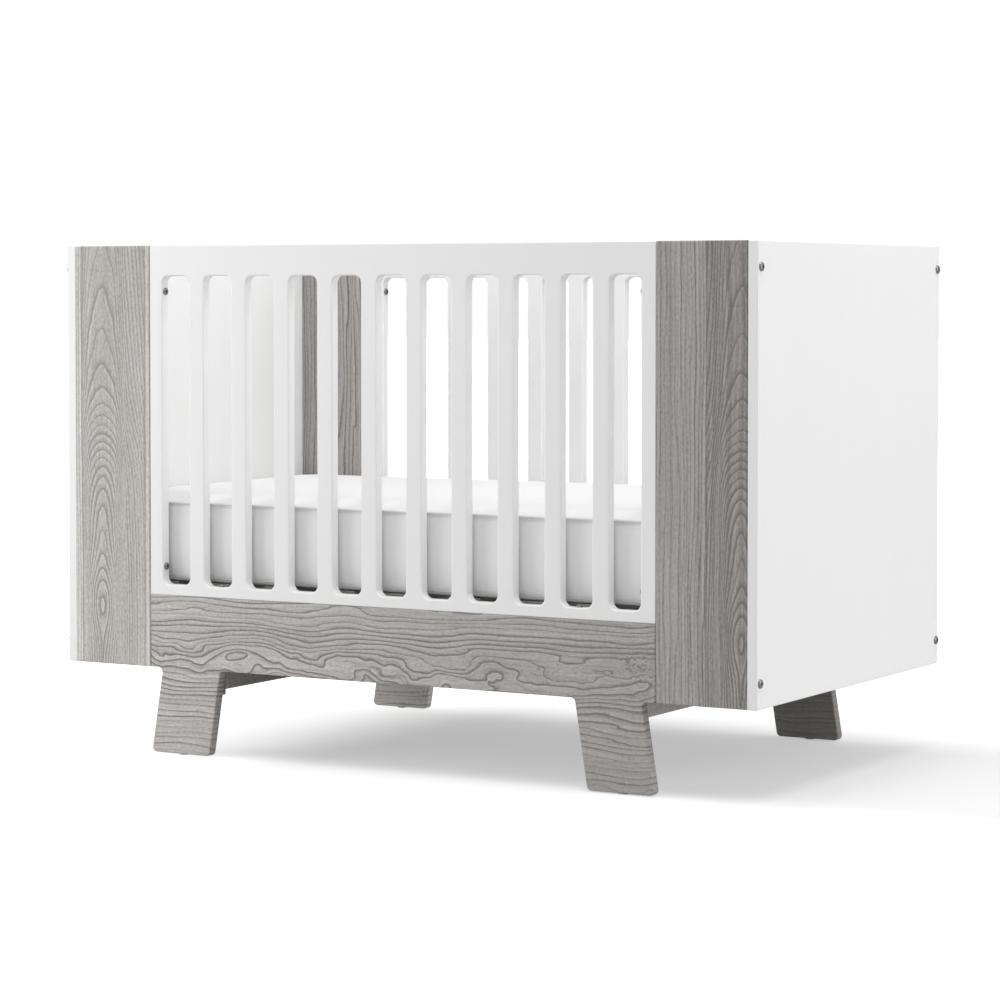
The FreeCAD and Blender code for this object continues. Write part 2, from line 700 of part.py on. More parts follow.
def threaded_inserts():
    """Threaded sleeves in the posts' inner edges and faces and in the backs of the leg boards."""
    bore = "bolt_radius + fit_play"
    sleeve = turned("insert", [(bore, "0"), ("insert_radius", "0"), ("insert_radius", "insert_length"),
                               (bore, "insert_length")])
    sleeves = []
    for side in SIDES.values():
        for face in FACES.values():
            sleeves += [copy_of(sleeve, (f"{side} * {POST_INNER}", y, z), away("X", side))
                        for _, y, z in side_bolt_spots(side, face)]
            sleeves += [copy_of(sleeve, hanger_spot(side, face, row), away("Y", face))
                        for row in hanger_rows()]
            sleeves += [copy_of(sleeve, (x, f"{face} * {INNER_FACE}", z), away("Y", face))
                        for x, _, z in cleat_screw_spots(side, face)]
    group("threaded_inserts", sleeves)


def dowels():
    end_pins, board_pins = [], []
    for side in SIDES.values():
        for face in FACES.values():
            middle = f"{face} * {MID_BOARD}"
            end_pins += [rod("end_dowel", "dowel_radius", "end_dowel_reach + dowel_reach",
                             (f"{side} * ({POST_OUTER} - dowel_reach)", middle, level), away("X", side))
                         for level in END_DOWEL_LEVELS]
            board_pins += [rod("apron_dowel", "dowel_radius", "2 * dowel_reach",
                               (f"{side} * ({POST_INNER} - dowel_reach)", middle, level), away("X", side))
                           for level in APRON_DOWEL_LEVELS]
    for face in FACES.values():
        board_pins += [rod("panel_dowel", "dowel_radius", "2 * dowel_reach",
                           (place_x, f"{face} * {MID_BOARD}", f"{APRON_TOP} - dowel_reach"), "+Z")
                       for place_x in PANEL_DOWEL_PLACES]
    group("end_panel_dowels", end_pins)
    group("leg_board_dowels", board_pins)


# ---------------------------------------------------------------- mattress support

def hanger_bolts():
    """The bolts that the hangers hook over, one in the row in use on each post."""
    shoulder = "hanger_thick + 2 * hanger_gap"
    hook_bolt = bolt("hook_bolt", "hanger_head_radius", "hanger_head_height",
                     f"{shoulder} + insert_length - 1")
    pieces = []
    for side in SIDES.values():
        for face in FACES.values():
            x, y, z = hanger_spot(side, face, 0)
            pieces.append(copy_of(hook_bolt, (x, f"{y} - {face} * ({shoulder})", z), away("Y", -face)))
    group("hanger_bolts", pieces)


def hanger(side_name, side, face_name, face):
    """A steel bracket: a hook plate against the post and a flange under the side rail."""
    name = f"{face_name}_{side_name}_hanger"
    plate_far = f"({INNER_FACE} - hanger_gap)"
    plate_near = f"({plate_far} - hanger_thick)"
    flange_near = f"({SUPPORT_SIDE} - rail_width)"
    plate_y = f"{face} * {plate_near if face > 0 else plate_far}"
    flange_y = f"{face} * {flange_near if face > 0 else plate_far}"
    left = f"{side} * {HANGER_MID} - hanger_width / 2"
    plate = box(name + "_plate", (left, plate_y, HANGER_LOW),
                ("hanger_width", "hanger_thick", "hanger_height"))
    flange_left = f"{side} * {HANGER_MID} - {'0' if side > 0 else 'hanger_width / 2'}"
    flange = box(name + "_flange", (flange_left, flange_y, HANGER_LOW),
                 ("hanger_width / 2", f"{plate_far} - {flange_near}", "hanger_thick"))
    bent = DOC.addObject("Part::Fuse", name + "_bent")
    bent.Base = plate
    bent.Tool = flange
    hook_x = f"{side} * ({HANGER_MID} - hook_offset)"
    gap = "(bolt_radius + hook_play)"
    top = f"({HOOK_LEVEL} + bolt_radius + hanger_gap - {gap})"
    away_y = f"{face} * ({plate_far} + 1)"
    eye = rod(name + "_eye", gap, "hanger_thick + 2", (hook_x, away_y, top), away("Y", -face))
    low_y = f"{away_y} - {'hanger_thick - 2' if face > 0 else '0'}"
    way = box(name + "_way", (f"{hook_x} - {gap}", low_y, f"{HANGER_LOW} - 1"),
              (f"2 * {gap}", "hanger_thick + 2", f"{top} - {HANGER_LOW} + 1"))
    x, y, z = hanger_screw_spot(side, face)
    hole = rod(name + "_screw_hole", "deck_screw_radius + 2 * fit_play", "hanger_thick + 2",
               (x, y, f"{z} - 1"), "+Z")
    return node(name, cut(name, bent, [eye, way, hole]))


def hanger_screw_spot(side, face):
    return (f"{side} * ({HANGER_MID} + hanger_width / 4)", f"{face} * ({SUPPORT_SIDE} - rail_width / 2)",
            HANGER_LOW)


def support_rails():
    """Two side rails and two end rails, screwed together at the corners."""
    screw_names = ("deck_screw_radius", "frame_screw_length")
    for face_name, face in FACES.items():
        name = f"{face_name}_support_rail"
        low_y = SUPPORT_SIDE if face < 0 else f"({SUPPORT_SIDE} - rail_width)"
        board = eased_board(name + "_board", (f"-{SUPPORT_END}", f"{face} * {low_y}", RAIL_LOW),
                            (f"2 * {SUPPORT_END}", "rail_width", "rail_height"), "white_ease")
        tools = [screw_holes(name + "_slat_screw_hole", "deck_screw_radius", "deck_screw_length", spot,
                             "+Z")
                 for index in deck_slat_numbers() for spot in deck_screw_spots(index, face)]
        for side in SIDES.values():
            tools += [screw_holes(name + "_end_screw_hole", *screw_names, spot, away("Y", face))
                      for spot in frame_screw_spots(side, face)]
            tools.append(rod(name + "_hanger_screw_hole", "deck_screw_radius + fit_play",
                             "rail_height / 2", hanger_rail_spot(side, face), "+Z"))
        node(name, cut(name, board, tools))
    for side_name, side in SIDES.items():
        name = f"{side_name}_support_rail"
        low_x = SUPPORT_END if side < 0 else f"({SUPPORT_END} - rail_width)"
        reach = f"({SUPPORT_SIDE} - rail_width)"
        board = eased_board(name + "_board", (f"{side} * {low_x}", f"-{reach}", RAIL_LOW),
                            ("rail_width", f"2 * {reach}", "rail_height"), "white_ease")
        tools = [screw_holes(name + "_screw_hole", *screw_names, spot, away("Y", face))
                 for face in FACES.values() for spot in frame_screw_spots(side, face)]
        node(name, cut(name, board, tools))


def hanger_rail_spot(side, face):
    x, y, _ = hanger_screw_spot(side, face)
    return (x, y, RAIL_LOW)


def deck_slats():
    """Slats across the support, spread evenly from end to end."""
    for index in deck_slat_numbers():
        name = f"deck_slat_{index + 1}"
        board = eased_board(name + "_board", (deck_slat_left(index), f"-{SUPPORT_SIDE}", RAIL_TOP),
                            ("deck_slat_width", f"2 * {SUPPORT_SIDE}", "deck_slat_thick"), "white_ease")
        tools = [screw_holes(name + "_screw_hole", "deck_screw_radius", "deck_screw_length", spot, "+Z")
                 for face in FACES.values() for spot in deck_screw_spots(index, face)]
        node(name, cut(name, board, tools))


def support_screws():
    deck_screw = wood_screw("deck_screw", "deck_screw_radius", "deck_screw_length")
    spots = [spot for face in FACES.values() for index in deck_slat_numbers()
             for spot in deck_screw_spots(index, face)]
    group("deck_screws", [copy_of(deck_screw, spot, "+Z") for spot in spots])
    frame_screw = wood_screw("frame_screw", "deck_screw_radius", "frame_screw_length")
    head_low, tip = "-hanger_thick", "rail_height / 2"
    hanger_screw = turned("hanger_screw", [("0", head_low), ("2 * deck_screw_radius", head_low),
                                           ("2 * deck_screw_radius", "0"), ("deck_screw_radius", "0"),
                                           ("deck_screw_radius", tip), ("0", tip)])
    frame_pieces, hanger_pieces = [], []
    for side in SIDES.values():
        for face in FACES.values():
            frame_pieces += [copy_of(frame_screw, spot, away("Y", face))
                             for spot in frame_screw_spots(side, face)]
            hanger_pieces.append(copy_of(hanger_screw, hanger_screw_spot(side, face), "+Z"))
    group("frame_screws", frame_pieces)
    group("hanger_screws", hanger_pieces)


# ---------------------------------------------------------------- mattress

def pad_block(name, low, height, inset, corner):
    """A block with rounded upright corners, inset all round from the mattress outline."""
    body = new_body(name)
    blank = body.newObject("PartDesign::AdditiveBox", name + "_blank")
    blank.setExpression("Length", bound(f"2 * {MATTRESS_END} - 2 * ({inset})"))
    blank.setExpression("Width", bound(f"2 * {MATTRESS_SIDE} - 2 * ({inset})"))
    blank.setExpression("Height", bound(height))
    DOC.recompute()
    rounded(body, name + "_corners", blank, corner, upright)
    place(body, (f"-{MATTRESS_END} + {inset}", f"-{MATTRESS_SIDE} + {inset}", low))
    return body


def ring(name, low, height, outset, thickness):
    """A band round the mattress: its outer face stands out by outset."""
    outer = pad_block(name + "_outer", low, height, f"-({outset})", f"mattress_corner + {outset}")
    inner = pad_block(name + "_inner", f"{low} - 1", f"{height} + 2", f"{thickness} - ({outset})",
                      f"mattress_corner + {outset} - ({thickness})")
    return cut(name, outer, [inner])


def mattress():
    """A foam core in a sewn cover: top, border and bottom, with piping along both seams."""
    border_low = f"({MATTRESS_LOW} + bottom_panel_thick)"
    border_high = f"({MATTRESS_LOW} + mattress_height - top_panel_thick)"
    border_height = f"({border_high} - {border_low})"
    node("mattress_core", pad_block("mattress_core", border_low, border_height, "cover_thick + fit_play",
                                    "mattress_corner - cover_thick"))
    node("mattress_border", ring("mattress_border", border_low, border_height, "0", "cover_thick"))
    node("mattress_top", pad_block("mattress_top", border_high, "top_panel_thick", "0", "mattress_corner"))
    node("mattress_bottom", pad_block("mattress_bottom", MATTRESS_LOW, "bottom_panel_thick", "0",
                                      "mattress_corner"))
    band = ("piping_width", "piping_proud", "piping_proud - fit_play")
    node("top_piping", ring("top_piping", f"({border_high} - piping_width / 2)", *band))
    node("bottom_piping", ring("bottom_piping", f"({border_low} - piping_width / 2)", *band))


# ---------------------------------------------------------------- the crib

def build():
    for side_name, side in SIDES.items():
        end_panel(side_name, side)
    for face_name, face in FACES.items():
        slatted_panel(face_name, face)
        leg_board(face_name, face)
        for side_name, side in SIDES.items():
            post(side_name, side, face_name, face)
            leg_cleat(side_name, side, face_name, face)
            hanger(side_name, side, face_name, face)
    for side_name, side in SIDES.items():
        cross_beam(side_name, side)
    foot_glides()
    case_fasteners()
    hanger_bolts()
    support_rails()
    deck_slats()
    support_screws()
    mattress()


def check():
    """Stop if any object failed or any sub-part has no sound shape."""
    failed = [item.Label for item in DOC.Objects if {"Invalid", "Error"} & set(item.State)]
    failed += [item.Label for item in NODES if item.Shape.isNull() or not item.Shape.isValid()]
    if failed:
        raise RuntimeError("failed: " + ", ".join(failed))


def write():
    os.makedirs("parts", exist_ok=True)
    for item in NODES:
        item.Shape.exportStep(f"parts/{item.Label}.step")
        print(f"{item.Label}: {len(item.Shape.Solids)} solids, {item.Shape.Volume / 1000:.1f} cm3")


build()
DOC.recompute()
check()
write()
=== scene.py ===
"""Baby crib in a plain studio: wood, lacquer and steel finishes, and a padded mattress with welted seams."""

import json
import logging
import math
from collections.abc import Callable, Sequence
from dataclasses import asdict, dataclass, field, replace
from enum import Enum

import bmesh
import bpy
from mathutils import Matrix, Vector


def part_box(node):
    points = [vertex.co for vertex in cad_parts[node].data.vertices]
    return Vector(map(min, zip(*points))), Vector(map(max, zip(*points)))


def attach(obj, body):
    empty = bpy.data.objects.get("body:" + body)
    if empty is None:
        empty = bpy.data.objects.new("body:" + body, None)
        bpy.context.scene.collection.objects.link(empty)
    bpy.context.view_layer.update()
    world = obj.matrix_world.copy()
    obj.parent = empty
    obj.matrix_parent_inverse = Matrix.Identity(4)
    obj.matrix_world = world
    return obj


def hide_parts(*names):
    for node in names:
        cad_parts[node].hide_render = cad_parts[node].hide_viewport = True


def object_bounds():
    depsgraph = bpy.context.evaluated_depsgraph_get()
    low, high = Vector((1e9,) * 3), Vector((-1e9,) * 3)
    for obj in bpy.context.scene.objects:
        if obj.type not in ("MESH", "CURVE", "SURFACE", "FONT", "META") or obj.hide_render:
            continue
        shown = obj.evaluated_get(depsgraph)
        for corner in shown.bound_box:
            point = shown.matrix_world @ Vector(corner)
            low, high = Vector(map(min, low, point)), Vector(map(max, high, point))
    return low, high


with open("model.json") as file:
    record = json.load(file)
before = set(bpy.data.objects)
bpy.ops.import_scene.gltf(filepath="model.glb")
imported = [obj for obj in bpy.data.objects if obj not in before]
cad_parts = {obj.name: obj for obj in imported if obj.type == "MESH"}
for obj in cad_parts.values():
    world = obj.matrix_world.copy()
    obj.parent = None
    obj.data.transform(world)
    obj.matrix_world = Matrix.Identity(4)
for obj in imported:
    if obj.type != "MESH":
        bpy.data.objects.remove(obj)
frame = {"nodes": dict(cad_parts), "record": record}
CAD_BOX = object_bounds()
LOG = logging.getLogger("crib")

Colour = tuple[float, float, float, float]
Triple = tuple[float, float, float]
Feed = "float | Sequence[float] | Signal"
Feeds = dict[int | str, Feed]
ORIGIN: Triple = (0.0, 0.0, 0.0)


def grey(level: float, warmth: float = 0.0) -> Colour:
    """A grey of one level, a little warmer in red and cooler in blue as warmth grows."""
    return (level * (1 + warmth), level, level * (1 - warmth), 1.0)


@dataclass(frozen=True)
class Signal:
    """A value in a node tree. Arithmetic on it adds Math nodes."""

    graph: "Graph"
    socket: bpy.types.NodeSocket

    def __add__(self, other: Feed) -> "Signal":
        """Sum."""
        return self.graph.math("ADD", self, other)

    def __sub__(self, other: Feed) -> "Signal":
        """Difference."""
        return self.graph.math("SUBTRACT", self, other)

    def __mul__(self, other: Feed) -> "Signal":
        """Product."""
        return self.graph.math("MULTIPLY", self, other)

    def __truediv__(self, other: Feed) -> "Signal":
        """Quotient."""
        return self.graph.math("DIVIDE", self, other)


class Mix(Enum):
    """What a Mix node blends: its data type, the places of its two inputs, and of its output."""

    COLOUR = ("RGBA", 6, 7, 2)
    NUMBER = ("FLOAT", 2, 3, 0)


class Graph:
    """A shader node tree with short ways to add and wire its nodes."""

    def __init__(self, tree: bpy.types.NodeTree) -> None:
        """Holds the tree that nodes are added to."""
        self.tree = tree

    def add(self, kind: str, **settings: object) -> bpy.types.Node:
        """Adds a node and sets its properties.

        Args:
            kind: the node's type name.
            **settings: properties to set on it.

        Returns:
            The new node.
        """
        node = self.tree.nodes.new(kind)
        for key, value in settings.items():
            setattr(node, key, value)
        return node

    def feed(self, socket: bpy.types.NodeSocket, value: Feed) -> None:
        """Links a signal to a socket, or sets a plain value on it.

        Args:
            socket: the input to fill.
            value: a signal, a number or a vector.
        """
        if isinstance(value, Signal):
            self.tree.links.new(value.socket, socket)
        else:
            socket.default_value = value

    def read(self, kind: str, output: int | str, feeds: Feeds | None = None, **settings: object) -> Signal:
        """Adds a node, fills its inputs and reads one output.

        Args:
            kind: the node's type name.
            output: which output is read, by place or name.
            feeds: what its inputs get, by place or name.
            **settings: properties to set on it.

        Returns:
            The output's signal.
        """
        node = self.add(kind, **settings)
        for key, value in (feeds or {}).items():
            self.feed(node.inputs[key], value)
        return Signal(self, node.outputs[output])

    def math(self, operation: str, *values: Feed) -> Signal:
        """The result of a Math node on the values in order."""
        return self.read("ShaderNodeMath", 0, dict(enumerate(values)), operation=operation)

    def step(self, value: Feed, low: float, high: float) -> Signal:
        """0 at low, 1 at high, and an S-curve between."""
        feeds = {"Value": value, "From Min": low, "From Max": high}
        return self.read("ShaderNodeMapRange", 0, feeds, interpolation_type="SMOOTHSTEP")

    def point(self, x: Feed, y: Feed, z: Feed) -> Signal:
        """A vector made from three values."""
        return self.read("ShaderNodeCombineXYZ", 0, {0: x, 1: y, 2: z})

    def split(self, vector: Signal) -> tuple[Signal, Signal, Signal]:
        """The three values of a vector."""
        first = self.read("ShaderNodeSeparateXYZ", 0, {0: vector})
        return tuple(Signal(self, socket) for socket in first.socket.node.outputs)

    def vector(self, operation: str, first: Feed, second: Feed) -> Signal:
        """The vector that a Vector Math node gives, or the number for a dot product."""
        output = 1 if operation == "DOT_PRODUCT" else 0
        return self.read("ShaderNodeVectorMath", output, {0: first, 1: second}, operation=operation)

    def noise(self, point: Signal, scales: Triple, detail: float = 2.0, rough: float = 0.5) -> Signal:
        """Noise from -1 to 1, with its own scale, in features per metre, on each axis."""
        feeds = {"Vector": self.vector("MULTIPLY", point, scales), "Scale": 1.0, "Detail": detail}
        return self.read("ShaderNodeTexNoise", 0, {**feeds, "Roughness": rough}) * 2.0 - 1.0

    def blend(self, factor: Feed, first: Feed, second: Feed, kind: Mix = Mix.COLOUR) -> Signal:
        """A colour or number between two others: the first where factor is 0, the second where it is 1."""
        data_type, low, high, result = kind.value
        return self.read(
            "ShaderNodeMix", result, {0: factor, low: first, high: second}, data_type=data_type,
            clamp_factor=True,
        )

    def use(self, group: bpy.types.NodeTree, **values: Feed) -> Callable[[str], Signal]:
        """Places a node group.

        Args:
            group: the group's tree.
            **values: its inputs by name.

        Returns:
            A function that gives the group's outputs by name.
        """
        node = self.add("ShaderNodeGroup", node_tree=group)
        for name, value in values.items():
            self.feed(node.inputs[name], value)
        return lambda name: Signal(self, node.outputs[name])


class Effect:
    """A shader node group that several finishes share."""

    def __init__(self, name: str, inputs: dict[str, Feed], outputs: Sequence[str]) -> None:
        """Makes the group with its sockets.

        Args:
            name: the group's name.
            inputs: each input's name and default, where a number or a vector sets its kind.
            outputs: the names of its outputs, which are all numbers.
        """
        self.tree = bpy.data.node_groups.new(name, "ShaderNodeTree")
        self.graph = Graph(self.tree)
        for key, default in inputs.items():
            kind = "NodeSocketVector" if isinstance(default, tuple) else "NodeSocketFloat"
            socket = self.tree.interface.new_socket(key, in_out="INPUT", socket_type=kind)
            socket.default_value = default
        for key in outputs:
            self.tree.interface.new_socket(key, in_out="OUTPUT", socket_type="NodeSocketFloat")
        self.start = self.graph.add("NodeGroupInput")
        self.end = self.graph.add("NodeGroupOutput")

    def get(self, name: str) -> Signal:
        """The signal of one of the group's inputs."""
        return Signal(self.graph, self.start.outputs[name])

    def give(self, **values: Feed) -> bpy.types.NodeTree:
        """Wires the group's outputs.

        Args:
            **values: the signals by output name.

        Returns:
            The finished group.
        """
        for name, value in values.items():
            self.graph.feed(self.end.inputs[name], value)
        return self.tree


@dataclass(frozen=True)
class Figure:
    """The ring pattern of one board, in metres and ring numbers: the inputs of the growth_rings group."""

    heart: float = 0.0
    spacing: float = 0.0058
    crowd: float = 5.0
    crowd_from: float = 0.024
    crowd_to: float = 0.056
    sharp: float = 1.8
    base: float = 9.6
    slope: float = 12.5
    swell: float = 4.9
    swell_at: float = 0.545
    swell_width: float = 0.084
    swirl: float = 0.006
    calm: float = 0.05
    wobble: float = 0.26
    knot_at: float = 0.268
    knot_off: float = 0.0
    knot_size: float = 0.025
    knot_pull: float = -2.3
    burl: float = 0.0
    arched_from: float = -10.0
    arched_to: float = 10.0
    straight: float = 0.0056
    drift: float = 1.1

    def sockets(self) -> dict[str, float]:
        """The values under the group's own input names."""
        return {name.capitalize(): value for name, value in asdict(self).items()}


class Effects:
    """The shared node groups, each built once."""

    def __init__(self) -> None:
        """Builds every group."""
        self.rings = self.growth_rings()
        self.lines = self.ring_lines()
        self.fibres = self.wood_fibres()
        self.wear_and_painted_light = self.edge_wear_highlight_and_recess_shade()
        self.ripple = self.sprayed_ripple()
        self.weave = self.plain_weave()

    @staticmethod
    def growth_rings() -> bpy.types.NodeTree:
        """Ring number of a sawn board: nested arches round a heart line, and straight grain beside them.

        Returns:
            The group. Its Point runs across, through and along the board, in metres.
        """
        effect = Effect("growth_rings", {"Point": ORIGIN, **Figure().sockets()}, ["Rings"])
        graph, get = effect.graph, effect.get
        point = get("Point")
        across, _, along = graph.split(point)
        offset = across - get("Heart")
        near = offset / get("Calm")
        near = graph.math("EXPONENT", near * near * -1.0)
        strength = get("Swirl") * (near * 0.7 + 0.3)
        wide = graph.noise(point, (10.0, 3.0, 4.6), detail=1.0)
        fine = graph.noise(point, (25.0, 8.0, 15.0), detail=1.5)
        moved = offset + strength * (wide + fine * near * 0.38)
        rise = along - get("Swell_at")
        swell = get("Swell") * graph.math("TANH", rise / get("Swell_width"))
        phase = get("Base") + get("Slope") * rise + swell
        reach = graph.math("ABSOLUTE", moved)
        crowd = get("Crowd") * graph.step(reach, get("Crowd_from"), get("Crowd_to"))
        up = (along - get("Knot_at")) / (get("Knot_size") * 2.4)
        out = (offset - get("Knot_off")) / get("Knot_size")
        eye = graph.math("EXPONENT", (up * up + out * out) * -1.0)
        cross = reach / get("Spacing") * (eye * -0.76 + 1.0) + crowd
        sharp = get("Sharp")
        phase = graph.math("POWER", graph.math("ABSOLUTE", phase), sharp)
        arches = graph.math("POWER", cross, sharp) + phase
        arches = graph.math("POWER", arches, graph.math("DIVIDE", 1.0, sharp))
        knot = (get("Knot_pull") + get("Burl") * graph.noise(point, (95.0, 20.0, 95.0), detail=2.0)) * eye
        tremble = graph.noise(point, (60.0, 20.0, 11.0), detail=2.0)
        uneven = graph.noise(point, (72.0, 5.0, 1.7), detail=1.0)
        arches = arches + knot + get("Wobble") * (near * -0.7 + 1.0) * (tremble + uneven * 1.6)
        drift = graph.noise(point, (26.0, 4.0, 2.6), detail=1.5)
        straight = across / get("Straight") + drift * get("Drift") + tremble * 0.25
        inside = graph.math("GREATER_THAN", across, get("Arched_from"))
        inside = inside * graph.math("LESS_THAN", across, get("Arched_to"))
        return effect.give(Rings=graph.blend(inside, straight, arches, Mix.NUMBER))

    @staticmethod
    def ring_lines() -> bpy.types.NodeTree:
        """Late-wood lines of even width from ring numbers read at a point and a short step to each side.

        Returns:
            The group, with the thin line, the darker wood behind it and the pale wood before it.
        """
        inputs = {"Here": 0.0, "Across": 0.0, "Along": 0.0, "Step": 0.0006, "Width": 0.0012}
        effect = Effect("ring_lines", inputs, ["Line", "Shade", "Pale"])
        graph, get = effect.graph, effect.get
        here = get("Here")
        one = get("Across") - here
        two = get("Along") - here
        slope = graph.math("SQRT", one * one + two * two) / get("Step") + 0.001
        part = graph.math("FRACT", here)
        ring = {"W": graph.math("ROUND", here) + 0.5}
        weight = graph.read("ShaderNodeTexWhiteNoise", "Value", ring, noise_dimensions="1D") * 0.62 + 0.45
        width = graph.math("MINIMUM", slope * get("Width") * (weight * 0.5 + 0.6), 0.26)
        thin = (graph.step(slope, 700.0, 150.0) * 0.85 + 0.15) * weight
        after = part / width
        before = (part * -1.0 + 1.0) / width
        line = graph.math("MAXIMUM", graph.step(after, 1.0, 0.2), graph.step(before, 0.7, 0.0))
        shade = graph.step(after, 3.6, 0.0)
        pale = graph.step(before, 3.2, 0.0) * graph.step(before, 0.4, 1.4)
        return effect.give(Line=line * thin, Shade=shade * thin, Pale=pale * thin)

    @staticmethod
    def wood_fibres() -> bpy.types.NodeTree:
        """Fibres and pores drawn out along the grain.

        Returns:
            The group, with Streak, Cloud, Band and Mottle from -1 to 1 and Pore from 0 to 1.
        """
        effect = Effect("wood_fibres", {"Point": ORIGIN}, ["Streak", "Cloud", "Band", "Mottle", "Pore"])
        graph, point = effect.graph, effect.get("Point")
        streak = graph.noise(point, (380.0, 300.0, 20.0), detail=3.0, rough=0.65)
        cloud = graph.noise(point, (34.0, 20.0, 4.0), detail=3.0, rough=0.55)
        pore = graph.noise(point, (760.0, 600.0, 70.0), detail=2.0)
        bend = graph.noise(point, (11.0, 5.0, 3.4), detail=1.0) * 0.009
        bent = graph.vector("ADD", point, graph.point(bend, 0.0, 0.0))
        band = graph.noise(bent, (165.0, 110.0, 1.6), detail=2.0, rough=0.6)
        mottle = graph.noise(point, (250.0, 250.0, 150.0), detail=2.0, rough=0.65)
        pore = graph.step(pore, 0.05, 0.45)
        return effect.give(Streak=streak, Cloud=cloud, Band=band, Mottle=mottle, Pore=pore)

    @staticmethod
    def edge_wear_highlight_and_recess_shade() -> bpy.types.NodeTree:
        """Where an edge is rubbed or takes a painted highlight, broken up by noise, and painted shade in a
        recess from ambient occlusion.

        Returns:
            The group, with Edge from 0 on a flat to 1 on an edge, and Recess from 0 to 1 deep inside.
        """
        effect = Effect("edge_wear_highlight_and_recess_shade", {"Point": ORIGIN, "Reach": 0.003}, ["Edge", "Recess"])
        graph, get = effect.graph, effect.get
        bent = graph.read("ShaderNodeBevel", 0, {"Radius": get("Reach")}, samples=4)
        turn = graph.vector("DOT_PRODUCT", bent, graph.read("ShaderNodeNewGeometry", "Normal"))
        # Edge serves both rubbed wear and a painted highlight along edges.
        edge = graph.step(turn, 0.995, 0.86)
        broken = graph.noise(get("Point"), (70.0, 70.0, 70.0), detail=3.0)
        # Recess is painted shade: ambient occlusion darkens hollows such as bolt sockets.
        deep = {"Distance": get("Reach") * 6.0}
        open_sky = graph.read("ShaderNodeAmbientOcclusion", "AO", deep, samples=4, only_local=True)
        recess = open_sky * -1.0 + 1.0
        return effect.give(Edge=edge * (broken * 0.35 + 0.65), Recess=recess)

    @staticmethod
    def sprayed_ripple() -> bpy.types.NodeTree:
        """The slight waviness of a sprayed coat with a trace of the board's grain under it.

        Returns:
            The group, with Height and Tint near 0 and no more than 1 either way.
        """
        effect = Effect("sprayed_ripple", {"Point": ORIGIN}, ["Height", "Tint"])
        graph, point = effect.graph, effect.get("Point")
        peel = graph.noise(point, (210.0, 210.0, 210.0), detail=2.0)
        grain = graph.noise(point, (300.0, 300.0, 9.0), detail=3.0, rough=0.6)
        veil = graph.noise(point, (26.0, 26.0, 2.2), detail=2.0)
        return effect.give(Height=peel * 0.5 + grain * 0.5, Tint=grain * 0.6 + veil * 0.4)

    @staticmethod
    def plain_weave() -> bpy.types.NodeTree:
        """Threads over and under each other on whichever way the surface faces.

        Returns:
            The group, with Height and Thread from 0 to 1.
        """
        effect = Effect("plain_weave", {"Point": ORIGIN, "Thread_width": 0.0007}, ["Height", "Thread"])
        graph, get = effect.graph, effect.get
        facing = graph.split(graph.read("ShaderNodeTexCoord", "Normal"))
        places = [value / get("Thread_width") * math.pi for value in graph.split(get("Point"))]
        height = None
        for side, (first, second) in enumerate(((1, 2), (0, 2), (0, 1))):
            cloth = graph.math("SINE", places[first]) * graph.math("SINE", places[second])
            part = graph.math("ABSOLUTE", cloth) * graph.math("ABSOLUTE", facing[side])
            height = part if height is None else height + part
        slub = graph.noise(get("Point"), (90.0, 90.0, 400.0), detail=2.0)
        return effect.give(Height=height, Thread=slub * 0.5 + 0.5)


EFFECTS = Effects()


class Run(Enum):
    """Which way a board's grain runs, as the axes across, through and along it."""

    UPRIGHT = (0, 1, 2)
    LEVEL = (2, 1, 0)
    DEEP = (0, 2, 1)


class Finish:
    """A material under construction: its tree, its coordinates and its Principled shader."""

    def __init__(self, name: str) -> None:
        """Starts an empty material with one shader.

        Args:
            name: the material's name.
        """
        self.material = bpy.data.materials.new(name)
        self.material.use_nodes = True
        self.graph = Graph(self.material.node_tree)
        self.shader = self.material.node_tree.nodes["Principled BSDF"]
        self.place = self.graph.read("ShaderNodeTexCoord", "Object")

    def along(self, run: Run) -> Signal:
        """The place on a board as across, through and along its grain."""
        parts = self.graph.split(self.place)
        return self.graph.point(*(parts[index] for index in run.value))

    def wire(self, **values: Feed) -> None:
        """Feeds or sets the shader's own sockets, whose names have _ for a space."""
        for name, value in values.items():
            self.graph.feed(self.shader.inputs[name.replace("_", " ")], value)

    def bump(self, height: Feed, distance: float, strength: float = 1.0) -> None:
        """Bumps the shader's normal by a height of about 0 to 1, where 1 is the distance in metres."""
        feeds = {"Height": height, "Distance": distance, "Strength": strength}
        self.wire(Normal=self.graph.read("ShaderNodeBump", 0, feeds))


